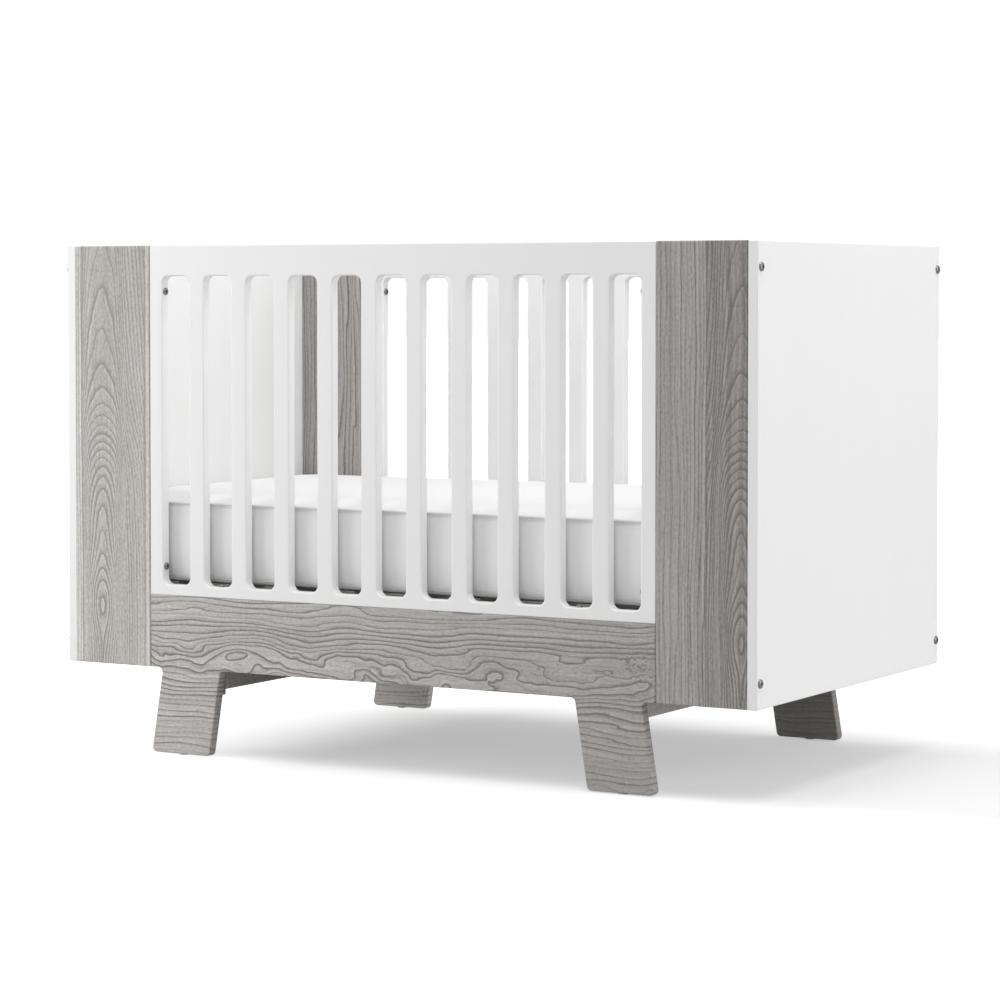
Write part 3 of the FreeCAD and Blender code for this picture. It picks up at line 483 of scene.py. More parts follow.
@dataclass(frozen=True)
class GreyWashedWood:
    """Open-grained wood with a grey wash: dark late-wood lines, pale wash between, fine pores.

    Each seam is a place across the board and how much lighter the stave after it is; a thin dark line is
    drawn at each seam: a glue line between staves, and painted contact shadow at a seam set at a post's edge
    against a panel.
    """

    name: str
    run: Run
    figure: Figure
    tone: float = 0.40
    warmth: float = 0.042
    drift: float = 0.0
    seams: tuple[tuple[float, float], ...] = ()
    line_depth: float = 0.5
    line_width: float = 0.0024
    fine_depth: float = 0.05
    outside_calm: float = 0.045
    band: float = 0.12
    seam_depth: float = 0.4
    seam_width: float = 0.0017
    reading: float = 0.0006
    pale: float = 0.16
    streak: float = 0.22
    cloud: float = 0.16
    pore: float = 0.14
    mottle: float = 0.34
    wear_and_painted_light: float = 0.16

    def material(self) -> bpy.types.Material:
        """Builds the wash over the rings, fibres and staves.

        Returns:
            The material.
        """
        finish = Finish(self.name)
        graph = finish.graph
        point = finish.along(self.run)
        across, _, along = graph.split(point)
        step = self.reading
        sides = {"Here": ORIGIN, "Across": (step, 0.0, 0.0), "Along": (0.0, 0.0, step)}
        values = {}
        for name, shift in sides.items():
            moved = graph.vector("ADD", point, shift)
            values[name] = graph.use(EFFECTS.rings, Point=moved, **self.figure.sockets())("Rings")
        lines = graph.use(EFFECTS.lines, **values, Step=step, Width=self.line_width)
        thirds = {name: value * 3.0 for name, value in values.items()}
        hairs = graph.use(EFFECTS.lines, **thirds, Step=step, Width=self.line_width * 0.6)
        fibres = graph.use(EFFECTS.fibres, Point=point)
        streak, cloud, pore = fibres("Streak"), fibres("Cloud"), fibres("Pore")
        offset = (across - self.figure.heart) / self.outside_calm
        strength = graph.math("EXPONENT", offset * offset * -0.5) * 0.6 + 0.4
        strength = strength * (cloud * 0.5 + 1.0)
        value = lines("Line") * strength * -self.line_depth + 1.0
        value = value - lines("Shade") * strength * (self.line_depth * 0.45)
        value = value + lines("Pale") * strength * self.pale - hairs("Line") * strength * self.fine_depth
        value = value + streak * self.streak + cloud * self.cloud - pore * self.pore + 0.03
        value = value + fibres("Band") * self.band + fibres("Mottle") * self.mottle
        # Each seam steps the tone and draws a thin dark line: a glue line between staves, and painted
        # contact shadow where the seam sits at a post's edge against a panel.
        for place, change in self.seams:
            value = value + graph.math("GREATER_THAN", across, place) * change
            gap = (across - place) / self.seam_width
            value = value - graph.math("EXPONENT", gap * gap * -1.0) * self.seam_depth
        # Edges lighten by this amount: partly rubbed wear, partly a painted highlight.
        edge = graph.use(EFFECTS.wear_and_painted_light, Point=finish.place, Reach=0.0032)("Edge")
        value = (value + edge * self.wear_and_painted_light) * (along * self.drift + 1.0)
        level = value - 0.45
        dark, light = grey(self.tone * 0.45, self.warmth * 1.5), grey(self.tone * 1.45, self.warmth)
        height = value * 0.6 - lines("Line") * 0.5 - pore * 0.4 + streak * 0.2
        finish.wire(Base_Color=graph.blend(level, dark, light))
        finish.wire(Roughness=pore * 0.12 + 0.56 - edge * 0.08, Specular_IOR_Level=0.35)
        finish.bump(height, 0.00012, 0.7)
        return finish.material


@dataclass(frozen=True)
class WhiteLacquer:
    """Satin white lacquer sprayed on boards, with a trace of grain, a painted highlight along its edges and
    painted light on faces that point along the crib.
    """

    name: str = "white_lacquer"
    white: float = 0.84
    # Share of painted light on faces that point along the crib.
    painted_side_light: float = 0.0

    def material(self) -> bpy.types.Material:
        """Builds the coat, with painted light that makes faces pointing along the crib paler by the given
        share, and a painted highlight along edges.

        Returns:
            The material.
        """
        finish = Finish(self.name)
        graph = finish.graph
        coat = graph.use(EFFECTS.ripple, Point=finish.along(Run.UPRIGHT))
        edge = graph.use(EFFECTS.wear_and_painted_light, Point=finish.place, Reach=0.0026)("Edge")
        tint = coat("Tint") * 0.5 + 0.5
        base = graph.blend(tint, grey(self.white * 0.972, 0.003), grey(self.white * 1.018, 0.001))
        side = graph.split(graph.read("ShaderNodeTexCoord", "Normal"))[0]
        # pale is a painted highlight on edges plus painted light on faces that point along the crib.
        pale = edge * 0.5 + graph.math("ABSOLUTE", side) * self.painted_side_light
        finish.wire(Base_Color=graph.blend(pale, base, grey(self.white * 1.08, 0.002)))
        finish.wire(Roughness=coat("Tint") * 0.05 + 0.44, Specular_IOR_Level=0.45)
        finish.wire(Coat_Weight=0.12, Coat_Roughness=0.3)
        finish.bump(coat("Height"), 0.00004, 0.5)
        return finish.material


@dataclass(frozen=True)
class PlainWood:
    """Sanded light wood under a clear coat."""

    name: str
    run: Run
    tone: Colour

    def material(self) -> bpy.types.Material:
        """Builds the clear-coated wood.

        Returns:
            The material.
        """
        finish = Finish(self.name)
        graph = finish.graph
        point = finish.along(self.run)
        fibres = graph.use(EFFECTS.fibres, Point=point)
        bands = graph.noise(point, (85.0, 40.0, 1.8), detail=2.0)
        value = fibres("Streak") * 0.22 + fibres("Cloud") * 0.18 - fibres("Pore") * 0.2 + bands * 0.35 + 0.5
        edge = graph.use(EFFECTS.wear_and_painted_light, Point=finish.place, Reach=0.002)("Edge")
        dark = tuple(part * 0.72 for part in self.tone[:3]) + (1.0,)
        light = tuple(min(1, part * 1.16) for part in self.tone)
        finish.wire(Base_Color=graph.blend(value + edge * 0.2, dark, light))
        finish.wire(Roughness=fibres("Pore") * 0.1 + 0.46, Specular_IOR_Level=0.4)
        finish.bump(value - fibres("Pore") * 0.5, 0.00006, 0.6)
        return finish.material


@dataclass(frozen=True)
class PlatedSteel:
    """Plated steel with fine tool marks, rubbed edges and painted shade in its recesses."""

    name: str
    tone: Colour
    roughness: float
    mottle: float = 0.06

    def material(self) -> bpy.types.Material:
        """Builds the plating.

        Returns:
            The material.
        """
        finish = Finish(self.name)
        graph = finish.graph
        mark = graph.noise(finish.place, (900.0, 900.0, 2600.0), detail=2.0)
        cloud = graph.noise(finish.place, (160.0, 160.0, 160.0), detail=3.0)
        wear_and_painted_light = graph.use(EFFECTS.wear_and_painted_light, Point=finish.place, Reach=0.0007)
        light = tuple(min(1.0, part * 1.3) for part in self.tone)
        dark = tuple(part * (1 - 3 * self.mottle) for part in self.tone[:3]) + (1.0,)
        base = graph.blend(cloud * 0.5 + 0.5, dark, self.tone)
        rubbed = graph.blend(wear_and_painted_light("Edge") * 0.7, base, light)
        # Recesses such as bolt sockets are darkened to near black: painted shade.
        finish.wire(Base_Color=graph.blend(graph.step(wear_and_painted_light("Recess"), 0.1, 0.55), rubbed, grey(0.015)))
        finish.wire(Roughness=mark * 0.06 + cloud * self.mottle + self.roughness, Metallic=1.0)
        finish.bump(mark, 0.00001, 0.5)
        return finish.material


@dataclass(frozen=True)
class PowderCoat:
    """Fine-textured black powder coat, paler where edges are rubbed."""

    name: str = "black_steel"
    tone: float = 0.035

    def material(self) -> bpy.types.Material:
        """Builds the coat.

        Returns:
            The material.
        """
        finish = Finish(self.name)
        graph = finish.graph
        grit = graph.noise(finish.place, (1400.0, 1400.0, 1400.0), detail=2.0)
        edge = graph.use(EFFECTS.wear_and_painted_light, Point=finish.place, Reach=0.001)("Edge")
        base = graph.blend(grit * 0.5 + 0.5, grey(self.tone * 0.7), grey(self.tone * 1.3))
        finish.wire(Base_Color=graph.blend(edge * 0.4, base, grey(0.16)))
        finish.wire(Roughness=grit * 0.08 + 0.5 - edge * 0.12)
        finish.bump(grit, 0.00006, 0.6)
        return finish.material


@dataclass(frozen=True)
class MouldedNylon:
    """Pale moulded nylon, scuffed a little."""

    name: str = "nylon"
    tone: float = 0.70

    def material(self) -> bpy.types.Material:
        """Builds the moulded surface.

        Returns:
            The material.
        """
        finish = Finish(self.name)
        graph = finish.graph
        grain = graph.noise(finish.place, (1100.0, 1100.0, 1100.0), detail=2.0)
        scuff = graph.noise(finish.place, (130.0, 130.0, 600.0), detail=4.0, rough=0.65)
        mask = graph.step(scuff, 0.1, 0.5)
        finish.wire(Base_Color=graph.blend(mask, grey(self.tone, 0.01), grey(self.tone * 0.7, 0.02)))
        finish.wire(Roughness=grain * 0.05 + mask * 0.15 + 0.45, Subsurface_Weight=0.05)
        finish.bump(grain - mask * 0.5, 0.00004, 0.5)
        return finish.material


@dataclass(frozen=True)
class Ticking:
    """White woven ticking with soft sheen, and a row of stitches beside each seam."""

    name: str = "white_ticking"
    white: float = 0.86
    seams: tuple[float, ...] = ()
    stitch: float = 0.0042
    thread: float = 0.0007

    def material(self) -> bpy.types.Material:
        """Builds the cloth.

        Returns:
            The material.
        """
        finish = Finish(self.name)
        graph = finish.graph
        cloth = graph.use(EFFECTS.weave, Point=finish.place, Thread_width=self.thread)
        cloud = graph.noise(finish.place, (24.0, 24.0, 24.0), detail=3.0)
        value = cloth("Thread") * 0.5 + cloth("Height") * 0.4 + cloud * 0.25
        base = graph.blend(value, grey(self.white * 0.955, -0.002), grey(self.white * 1.02, 0.0))
        x, y, z = graph.split(finish.place)
        height = cloth("Height") * 0.25 + cloth("Thread") * 0.2
        run = graph.math("FRACT", (x + y) / self.stitch)
        dash = graph.step(run, 0.08, 0.2) * graph.step(run, 0.8, 0.68)
        for seam in self.seams:
            gap = graph.math("ABSOLUTE", z - seam)
            row = graph.step(gap, 0.0009, 0.0003)
            trough = graph.step(gap, 0.004, 0.0)
            height = height + row * dash * 1.4 - trough * 1.2
            base = graph.blend(row * dash * 0.35, base, grey(self.white * 0.72))
        finish.wire(Base_Color=base, Roughness=cloth("Height") * 0.06 + 0.8, Specular_IOR_Level=0.2)
        finish.wire(Sheen_Weight=0.25, Sheen_Roughness=0.45)
        finish.bump(height, 0.00022, 0.7)
        return finish.material


class Workpiece:
    """A mesh that is shaped with the usual edit-mode operators and modifiers."""

    def __init__(self, name: str) -> None:
        """Takes the primitive that was just added and puts its place in its mesh.

        Args:
            name: the piece's name.
        """
        self.obj = bpy.context.active_object
        self.obj.name = name
        self.obj.data.name = name
        bpy.ops.object.transform_apply(location=True, rotation=True, scale=True)

    @staticmethod
    def clear() -> None:
        """Leaves edit mode and deselects everything."""
        if bpy.context.mode != "OBJECT":
            bpy.ops.object.mode_set(mode="OBJECT")
        bpy.ops.object.select_all(action="DESELECT")

    def hold(self) -> None:
        """Makes this the one selected and active object."""
        self.clear()
        self.obj.select_set(True)
        bpy.context.view_layer.objects.active = self.obj

    def pick(self, mode: str, test: Callable[[object], bool]) -> None:
        """Enters edit mode and selects the parts that pass a test.

        Args:
            mode: VERT, EDGE or FACE.
            test: says whether a part is selected.
        """
        self.hold()
        bpy.ops.object.mode_set(mode="EDIT")
        bpy.ops.mesh.select_mode(type=mode)
        bpy.ops.mesh.select_all(action="DESELECT")
        mesh = bmesh.from_edit_mesh(self.obj.data)
        for part in filter(test, {"VERT": mesh.verts, "EDGE": mesh.edges, "FACE": mesh.faces}[mode]):
            part.select_set(True)
        mesh.select_flush_mode()
        bmesh.update_edit_mesh(self.obj.data)

    def apply(self, kind: str, **settings: object) -> None:
        """Adds a modifier, sets it and applies it.

        Args:
            kind: the modifier's type.
            **settings: its properties.
        """
        self.hold()
        modifier = self.obj.modifiers.new(kind.title(), kind)
        for key, value in settings.items():
            setattr(modifier, key, value)
        bpy.ops.object.modifier_apply(modifier=modifier.name)

    def finish(self, body: str, slot: str, material: bpy.types.Material, stands_for: Sequence[str]) -> None:
        """Smooths and dresses the piece, and ties it to the frame.

        Args:
            body: the CAD body it rides on.
            slot: the record's material slot; not used.
            material: its finish.
            stands_for: the CAD nodes it replaces.
        """
        self.hold()
        bpy.ops.object.shade_smooth_by_angle(angle=math.radians(50))
        self.obj.data.materials.clear()
        self.obj.data.materials.append(material)
        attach(self.obj, body)
        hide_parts(*stands_for)
        LOG.info("%s: %d faces on %s", self.obj.name, len(self.obj.data.polygons), body)


@dataclass
class Mattress:
    """The sewn mattress: a padded cover that swells between two welted seams."""

    inset: float = 0.003
    corner: float = 0.034
    roll: float = 0.009
    low_roll: float = 0.016
    voxel: float = 0.010
    crown: float = 0.005
    bulge: float = 0.0045
    pressure: float = 4.0
    frames: int = 20
    welt_radius: float = 0.0026
    stitch_drop: float = 0.0052
    nodes: tuple[str, ...] = ("mattress_core", "mattress_border", "mattress_top", "mattress_bottom")
    seams: list[float] = field(default_factory=list)

    def __post_init__(self) -> None:
        """Reads the mattress's place and the heights of its seams from the frame."""
        corners = [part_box(node) for node in self.nodes]
        self.low = Vector(min(low[axis] for low, _ in corners) for axis in range(3))
        self.high = Vector(max(high[axis] for _, high in corners) for axis in range(3))
        for band in ("top_piping", "bottom_piping"):
            low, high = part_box(band)
            self.seams.append((low.z + high.z) / 2)

    def block(self) -> Workpiece:
        """Starts the cover as a block with rounded corners and rolled edges.

        Returns:
            The block, remeshed evenly.
        """
        low = self.low + Vector((self.inset, self.inset, 0))
        high = self.high - Vector((self.inset, self.inset, self.inset))
        size = high - low
        Workpiece.clear()
        bpy.ops.mesh.primitive_cube_add(size=1, location=(low + high) / 2, scale=size)
        piece = Workpiece("mattress_cover")
        piece.pick("EDGE", lambda edge: abs(edge.verts[0].co.z - edge.verts[1].co.z) > size.z / 2)
        bpy.ops.mesh.bevel(offset=self.corner, segments=8, profile=0.5, affect="EDGES")
        for level, roll, segments in ((high.z, self.roll, 4), (low.z, self.low_roll, 5)):
            piece.pick("EDGE", lambda edge: all(abs(vert.co.z - level) < 1e-5 for vert in edge.verts))
            bpy.ops.mesh.bevel(offset=roll, segments=segments, profile=0.5, affect="EDGES")
        piece.hold()
        piece.obj.data.remesh_voxel_size = self.voxel
        bpy.ops.object.voxel_remesh()
        return piece

    def sew(self, piece: Workpiece) -> None:
        """Holds the seam rows and the underside, so that only what lies between them swells.

        Args:
            piece: the remeshed cover.
        """
        group = piece.obj.vertex_groups.new(name="sewn")
        near = self.voxel * 0.55
        for vert in piece.obj.data.vertices:
            height = vert.co.z
            if abs(height - self.seams[0]) < near or height < self.seams[1] + near:
                group.add([vert.index], 1.0, "REPLACE")

    def swell(self, piece: Workpiece) -> None:
        """Fills the cover with air pressure between its seams and eases each point's travel.

        Args:
            piece: the cover with its sewn rows.
        """
        start = [vert.co.copy() for vert in piece.obj.data.vertices]
        piece.hold()
        cloth = piece.obj.modifiers.new("Cloth", "CLOTH")
        ticking = {"quality": 5, "mass": 0.3, "vertex_group_mass": "sewn", "use_pressure": True}
        stiff = {"tension_stiffness": 25, "compression_stiffness": 25, "bending_stiffness": 3}
        for key, value in {**ticking, **stiff, "uniform_pressure_force": self.pressure}.items():
            setattr(cloth.settings, key, value)
        cloth.settings.effector_weights.gravity = 0
        cloth.collision_settings.use_collision = False
        cloth.point_cache.frame_start = 1
        cloth.point_cache.frame_end = self.frames
        for number in range(1, self.frames + 1):
            bpy.context.scene.frame_set(number)
        bpy.ops.object.modifier_apply(modifier=cloth.name)
        bpy.context.scene.frame_set(1)
        limits = Vector((self.bulge, self.bulge, self.crown))
        for vert, old in zip(piece.obj.data.vertices, start):
            travel = vert.co - old
            for axis in range(3):
                vert.co[axis] = old[axis] + limits[axis] * math.tanh(travel[axis] / limits[axis])
            self.settle(vert)

    def settle(self, vert: bpy.types.MeshVertex) -> None:
        """Raises the middle of the top, where the filling is deepest, and keeps the underside on the deck.

        Args:
            vert: the point that is moved.
        """
        if vert.co.z > self.seams[0]:
            far_x = min(1.0, abs(vert.co.x) / self.high.x)
            far_y = min(1.0, abs(vert.co.y) / self.high.y)
            vert.co.z += self.inset * 1.6 * (1 - far_x**2) * (1 - far_y**4)
        vert.co.z = max(vert.co.z, self.low.z)

    def cover(self) -> None:
        """Makes the padded cover."""
        piece = self.block()
        self.sew(piece)
        self.swell(piece)
        piece.apply("SUBSURF", levels=1, render_levels=1)
        seams = tuple(seam + drop for seam, drop in zip(self.seams, (-self.stitch_drop, self.stitch_drop)))
        material = Ticking(seams=seams).material()
        piece.finish("mattress", "white_ticking", material, self.nodes)

    def welt(self, name: str, height: float, node: str, material: bpy.types.Material) -> None:
        """Makes one corded seam round the mattress.

        Args:
            name: the piece's name.
            height: the seam's height.
            node: the CAD node it stands for.
            material: its cloth.
        """
        size = self.high - self.low
        rise = max(0.0, self.low_roll - (height - self.low.z))
        tuck = self.inset - 0.0004 + self.low_roll - math.sqrt(self.low_roll**2 - rise**2)
        reach = Vector((size.x / 2 - tuck, size.y / 2 - tuck))
        Workpiece.clear()
        bpy.ops.mesh.primitive_plane_add(size=2, location=(0, 0, height), scale=(1, 1, 1))
        bpy.context.active_object.scale = (reach.x, reach.y, 1)
        piece = Workpiece(name)
        piece.pick("VERT", lambda vert: True)
        bpy.ops.mesh.bevel(offset=self.corner, segments=12, profile=0.5, affect="VERTICES")
        piece.pick("FACE", lambda face: True)
        bpy.ops.mesh.delete(type="ONLY_FACE")
        piece.pick("EDGE", lambda edge: edge.calc_length() > 0.2)
        bpy.ops.mesh.subdivide(number_cuts=40)
        piece.hold()
        bpy.ops.object.convert(target="CURVE")
        piece.obj = bpy.context.active_object
        piece.obj.data.bevel_depth = self.welt_radius
        piece.obj.data.bevel_resolution = 3
        bpy.ops.object.convert(target="MESH")
        piece.obj = bpy.context.active_object
        piece.obj.name = name
        piece.finish("mattress", "white_ticking", material, (node,))

    def build(self) -> None:
        """Makes the cover and its two welts."""
        self.cover()
        cord = Ticking("welt_ticking", white=0.80, thread=0.00055)
        # The bottom welt's cloth is a darker copy of the same ticking: painted shade low in the slots.
        shaded_low_cord = replace(cord, name="low_welt_painted_shade", white=0.42)
        self.welt("top_welt", self.seams[0], "top_piping", cord.material())
        self.welt("bottom_welt", self.seams[1], "bottom_piping", shaded_low_cord.material())


@dataclass
class Dresser:
    """Gives CAD nodes their finishes."""

    finishes: dict[str, bpy.types.Material] = field(default_factory=dict)

    def dress(self, node: str, material: bpy.types.Material) -> None:
        """Puts one material on a CAD node.

        Args:
            node: the node's name.
            material: its finish.
        """
        obj = frame["nodes"][node]
        if not obj.material_slots:
            obj.data.materials.append(material)
        for place in obj.material_slots:
            place.material = material
        self.finishes[node] = material
        LOG.info("%s: %s", node, material.name)


@dataclass
class Case:
    """The box of the crib: white end and slatted panels between grey-washed posts."""

    dresser: Dresser
    edge_strip: float = 0.014
    strip: float = 0.011
    # Inset of the painted contact shadow line from a post's inner edge.
    contact_shadow_inset: float = 0.0012

    def posts(self) -> list[tuple[str, GreyWashedWood]]:
        """The finish of each post, with its own heart line, staves and tone.

        Returns:
            Node names and finishes.
        """
        low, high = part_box("front_left_post")
        inner = abs(high.x)
        left, right = low.x + self.edge_strip, high.x - self.strip
        arched = GreyWashedWood(
            "post_wood_arched", Run.UPRIGHT,
            Figure(heart=-0.609, arched_from=left, arched_to=right), tone=0.66, drift=-0.2,
            # The seam just inside the inner edge is a painted contact shadow where the post meets the panel.
            seams=((left, -0.2), (right, 0.2), (-inner - self.contact_shadow_inset, 0.0)), seam_depth=0.3,
        )
        mixed = GreyWashedWood(
            "post_wood_mixed", Run.UPRIGHT,
            Figure(heart=0.657, arched_from=0.593, straight=0.0078, drift=2.2), tone=0.375, drift=-0.12,
            # Just inside this post's inner edge: a painted contact shadow line, then a lighter strip that is
            # a painted highlight on the eased edge.
            seams=((inner + self.contact_shadow_inset, 0.10), (inner + 0.008, -0.10), (0.5935, -0.2)),
            outside_calm=0.06, band=0.46, seam_depth=0.25,
        )
        rear_left = GreyWashedWood(
            "post_wood_rear_left", Run.UPRIGHT,
            Figure(heart=-0.574, arched_to=-10.0, straight=0.0085, drift=3.2), tone=0.345,
            seams=((-0.598, 0.10), (-inner - 0.02, -0.06)), line_depth=0.46, line_width=0.0026,
            outside_calm=0.3, band=0.34,
        )
        rear_right = GreyWashedWood(
            "post_wood_rear_right", Run.UPRIGHT,
            Figure(heart=0.596, arched_from=0.53, arched_to=0.65, swell_at=0.49, base=11.0, swirl=0.004),
            tone=0.37, seams=((0.53, 0.05), (0.65, -0.05)),
        )
        names = ("front_left_post", "front_right_post", "rear_left_post", "rear_right_post")
        return list(zip(names, (arched, mixed, rear_left, rear_right)))

    def build(self) -> None:
        """Dresses the panels and the posts."""
        lacquer = WhiteLacquer().material()
        # The slatted panels' lacquer is a lit copy: painted light makes the slot sides paler.
        slatted = WhiteLacquer("white_lacquer_slats", painted_side_light=1.0).material()
        for side in ("left", "right"):
            self.dresser.dress(f"{side}_end_panel", lacquer)
        for face in ("front", "rear"):
            self.dresser.dress(f"{face}_slatted_panel", slatted)
        for node, finish in self.posts():
            self.dresser.dress(node, finish.material())


@dataclass
class Base:
    """What the case stands on: plank leg boards, cross beams, cleats and glides."""

    dresser: Dresser
    heart: float = 0.176

    def board(self, name: str, tone: float, shift: float, drift: float) -> GreyWashedWood:
        """The wild-grained finish of one leg board.

        Args:
            name: the material's name.
            tone: how light it is.
            shift: how far its heart line is moved.
            drift: how much lighter it gets along its length, per metre.

        Returns:
            The finish.
        """
        figure = Figure(
            heart=self.heart + shift, spacing=0.0098, crowd=0.0, sharp=2.0, base=0.5, slope=0.9,
            swell=0.8, swell_at=0.1, swell_width=0.2, swirl=0.078, calm=0.036, wobble=0.42,
            knot_at=0.482, knot_off=0.032, knot_size=0.016, knot_pull=2.4, burl=3.0,
        )
        finish = GreyWashedWood(name, Run.LEVEL, figure, tone, drift=drift, band=0.2)
        return replace(finish, line_depth=0.64, line_width=0.0026, fine_depth=0.16, outside_calm=0.072)

    def build(self) -> None:
        """Dresses the base."""
        # The leg boards grow lighter towards their left ends and darker towards their right: painted light
        # from the left; the rear board's higher tone and steeper drift paint light on its left leg and shade
        # on its right leg.
        self.dresser.dress("front_leg_board", self.board("leg_board_front", 0.44, 0.0, -0.32).material())
        self.dresser.dress("rear_leg_board", self.board("leg_board_rear", 0.52, 0.011, -0.85).material())
        calm = Figure(spacing=0.006, crowd=0.0, sharp=2.0, base=4.0, slope=2.0, swell=0.0, knot_pull=0.0)
        beam = GreyWashedWood("beam_wood", Run.DEEP, calm, tone=0.58).material()
        cleat = GreyWashedWood("cleat_wood", Run.LEVEL, calm, tone=0.34).material()
        for node in ("left_cross_beam", "right_cross_beam"):
            self.dresser.dress(node, beam)
        for face in ("front", "rear"):
            for side in ("left", "right"):
                self.dresser.dress(f"{face}_{side}_cleat", cleat)
        self.dresser.dress("foot_glides", MouldedNylon().material())


@dataclass
class Support:
    """The slatted support under the mattress and the hangers that carry it."""

    dresser: Dresser

    def build(self) -> None:
        """Dresses the rails, slats and hangers."""
        # The deck and rail woods are toned dark grey-brown, darker than plain light wood: painted shade for
        # the strip that shows under the mattress at the bottom of the slots.
        across = PlainWood("deck_wood", Run.DEEP, tone=(0.34, 0.315, 0.285, 1.0)).material()
        lengthwise = PlainWood("rail_wood", Run.LEVEL, tone=(0.27, 0.25, 0.23, 1.0)).material()
        black = PowderCoat().material()
        for node in sorted(frame["nodes"]):
            if node.startswith("deck_slat") or node in ("left_support_rail", "right_support_rail"):
                self.dresser.dress(node, across)
            elif node.endswith("support_rail"):
                self.dresser.dress(node, lengthwise)
            elif node.endswith("hanger"):
                self.dresser.dress(node, black)


@dataclass
class Hardware:
    """Bolts, screws, nuts, inserts and dowels."""

    dresser: Dresser

    def build(self) -> None:
        """Dresses every fastener and every soft solid that the mattress pieces stand for."""
        nickel = PlatedSteel("nickel_steel", (0.30, 0.295, 0.285, 1.0), roughness=0.34).material()
        zinc = PlatedSteel("zinc_steel", (0.52, 0.53, 0.52, 1.0), roughness=0.36, mottle=0.1).material()
        dowel = PlainWood("dowel_wood", Run.UPRIGHT, tone=(0.70, 0.58, 0.42, 1.0)).material()
        foam = Ticking(name="foam", white=0.82).material()
        kinds = {"nickel_steel": nickel, "zinc_steel": zinc, "plain_wood": dowel}
        for row in frame["record"]["subparts"]:
            if row["node"] not in self.dresser.finishes:
                self.dresser.dress(row["node"], kinds.get(row["material_slot"], foam))


@dataclass(frozen=True)
class SoftBox:
    """A rectangular studio light."""

    name: str
    place: Triple
    aim: Triple
    width: float
    height: float
    watts: float

    def build(self) -> None:
        """Adds the light, turned to its aim."""
        bpy.ops.object.light_add(type="AREA", location=self.place)
        light = bpy.context.active_object
        light.name = self.name
        light.data.shape = "RECTANGLE"
        light.data.size = self.width
        light.data.size_y = self.height
        light.data.energy = self.watts
        light.rotation_euler = (Vector(self.aim) - Vector(self.place)).to_track_quat("-Z", "Y").to_euler()


@dataclass(frozen=True)
class PaintedPool:
    """A painted pool of light or shade on the floor: its glow rises or falls from one place to another along
    an axis.
    """

    axis: int
    start: float
    end: float
    glow: float


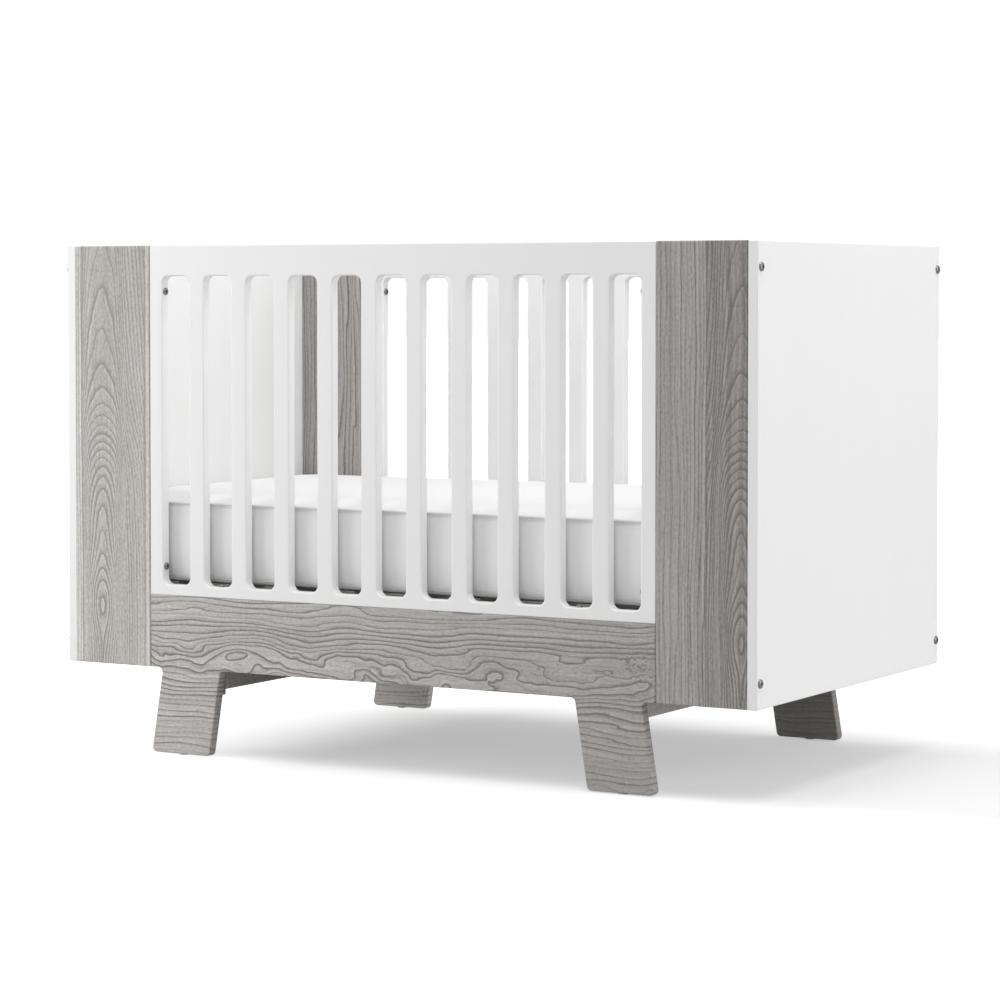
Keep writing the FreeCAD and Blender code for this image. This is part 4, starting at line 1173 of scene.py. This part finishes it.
@dataclass
class Studio:
    """A pale floor with painted light, a white surround, soft boxes and the camera."""

    floor_size: float = 90.0
    floor_white: float = 0.50
    floor_glow: float = 0.42
    far_glow: float = 0.45
    rim: tuple[float, float] = (1.1, 4.2)
    # Painted pools: spill light at the left, the rear and the front, and a painted shadow at the right.
    painted_pools: tuple[PaintedPool, ...] = (
        PaintedPool(0, -0.18, -0.56, 0.43),
        PaintedPool(1, 0.28, 0.54, 0.20),
        PaintedPool(1, -0.25, -0.42, 0.14),
        PaintedPool(0, 0.60, 0.74, -0.10),
    )
    surround: float = 0.57
    backdrop: float = 1.02
    lens: float = 113.13
    lens_drop: float = -0.10
    eye: Triple = (2.8207, -4.8807, 0.8149)
    pan: float = 30.062
    tilt: float = 1.936

    def floor(self) -> None:
        """Lays the floor, with painted light: a glow that only the camera sees lifts the shadow under the
        crib, grows away from it, and rises or falls in the pools.
        """
        Workpiece.clear()
        bpy.ops.mesh.primitive_plane_add(size=self.floor_size, location=(0, 0, CAD_BOX[0][2] - 0.0002))
        piece = Workpiece("studio_floor")
        piece.pick("FACE", lambda face: True)
        bpy.ops.mesh.subdivide(number_cuts=8)
        piece.hold()
        finish = Finish("studio_floor")
        graph = finish.graph
        mottle = graph.noise(finish.place, (3.0, 3.0, 3.0), detail=2.0)
        shade = graph.blend(mottle * 0.5 + 0.5, grey(self.floor_white * 0.99), grey(self.floor_white))
        place = graph.split(finish.place)
        away = graph.math("SQRT", place[0] * place[0] + place[1] * place[1])
        # Painted light: a camera-only glow stands in for light on the floor and lifts its shadows.
        glow = graph.step(away, *self.rim) * self.far_glow + self.floor_glow
        for pool in self.painted_pools:
            glow = glow + graph.step(place[pool.axis], pool.start, pool.end) * pool.glow
        seen = graph.read("ShaderNodeLightPath", "Is Camera Ray")
        finish.wire(Base_Color=shade, Roughness=0.9, Specular_IOR_Level=0.1)
        finish.wire(Emission_Color=grey(1.0), Emission_Strength=glow * seen)
        piece.obj.data.materials.append(finish.material)

    def dome(self) -> None:
        """Surrounds the scene with even white light and a white backdrop."""
        world = bpy.context.scene.world or bpy.data.worlds.new("studio")
        bpy.context.scene.world = world
        world.use_nodes = True
        graph = Graph(world.node_tree)
        world.node_tree.nodes.clear()
        seen = graph.read("ShaderNodeLightPath", "Is Camera Ray")
        strength = graph.blend(seen, self.surround, self.backdrop, Mix.NUMBER)
        sky = graph.read("ShaderNodeBackground", 0, {"Color": grey(1.0), "Strength": strength})
        graph.feed(graph.add("ShaderNodeOutputWorld").inputs["Surface"], sky)

    def camera(self) -> None:
        """Adds the camera and makes it the scene's."""
        turn = (math.radians(90 - self.tilt), 0.0, math.radians(self.pan))
        bpy.ops.object.camera_add(location=self.eye, rotation=turn)
        camera = bpy.context.active_object
        camera.data.sensor_width = 36
        camera.data.lens = self.lens
        camera.data.shift_y = self.lens_drop
        camera.data.dof.use_dof = False
        camera.data.clip_end = 200
        bpy.context.scene.camera = camera

    def lights(self) -> list[SoftBox]:
        """The soft boxes: the key at the left, a fill in front, one at the right and one overhead."""
        return [
            SoftBox("key_box", (-3.0, -2.5, 1.1), (-0.2, -0.1, 0.3), 2.2, 2.0, 59.5),
            SoftBox("front_box", (2.6, -4.6, 1.7), (0.1, 0.0, 0.4), 2.4, 2.0, 6.0),
            SoftBox("right_box", (4.2, 0.9, 1.3), (0.7, 0.0, 0.5), 2.5, 2.2, 61.5),
            SoftBox("top_box", (0.9, -0.5, 3.5), (-0.1, 0.1, 0.4), 2.2, 2.0, 71.0),
        ]

    def build(self) -> None:
        """Sets up the whole studio."""
        self.floor()
        self.dome()
        for light in self.lights():
            light.build()
        self.camera()
        settings = bpy.context.scene.view_settings
        settings.view_transform = "Standard"
        settings.look = "None"
        LOG.info("studio ready")


def main() -> None:
    """Builds the crib's looks, the mattress and the studio in order."""
    logging.basicConfig(level=logging.INFO, format="%(name)s: %(message)s")
    dresser = Dresser()
    for part in (Case(dresser), Base(dresser), Support(dresser), Hardware(dresser), Mattress(), Studio()):
        part.build()


if __name__ == "__main__":
    main()
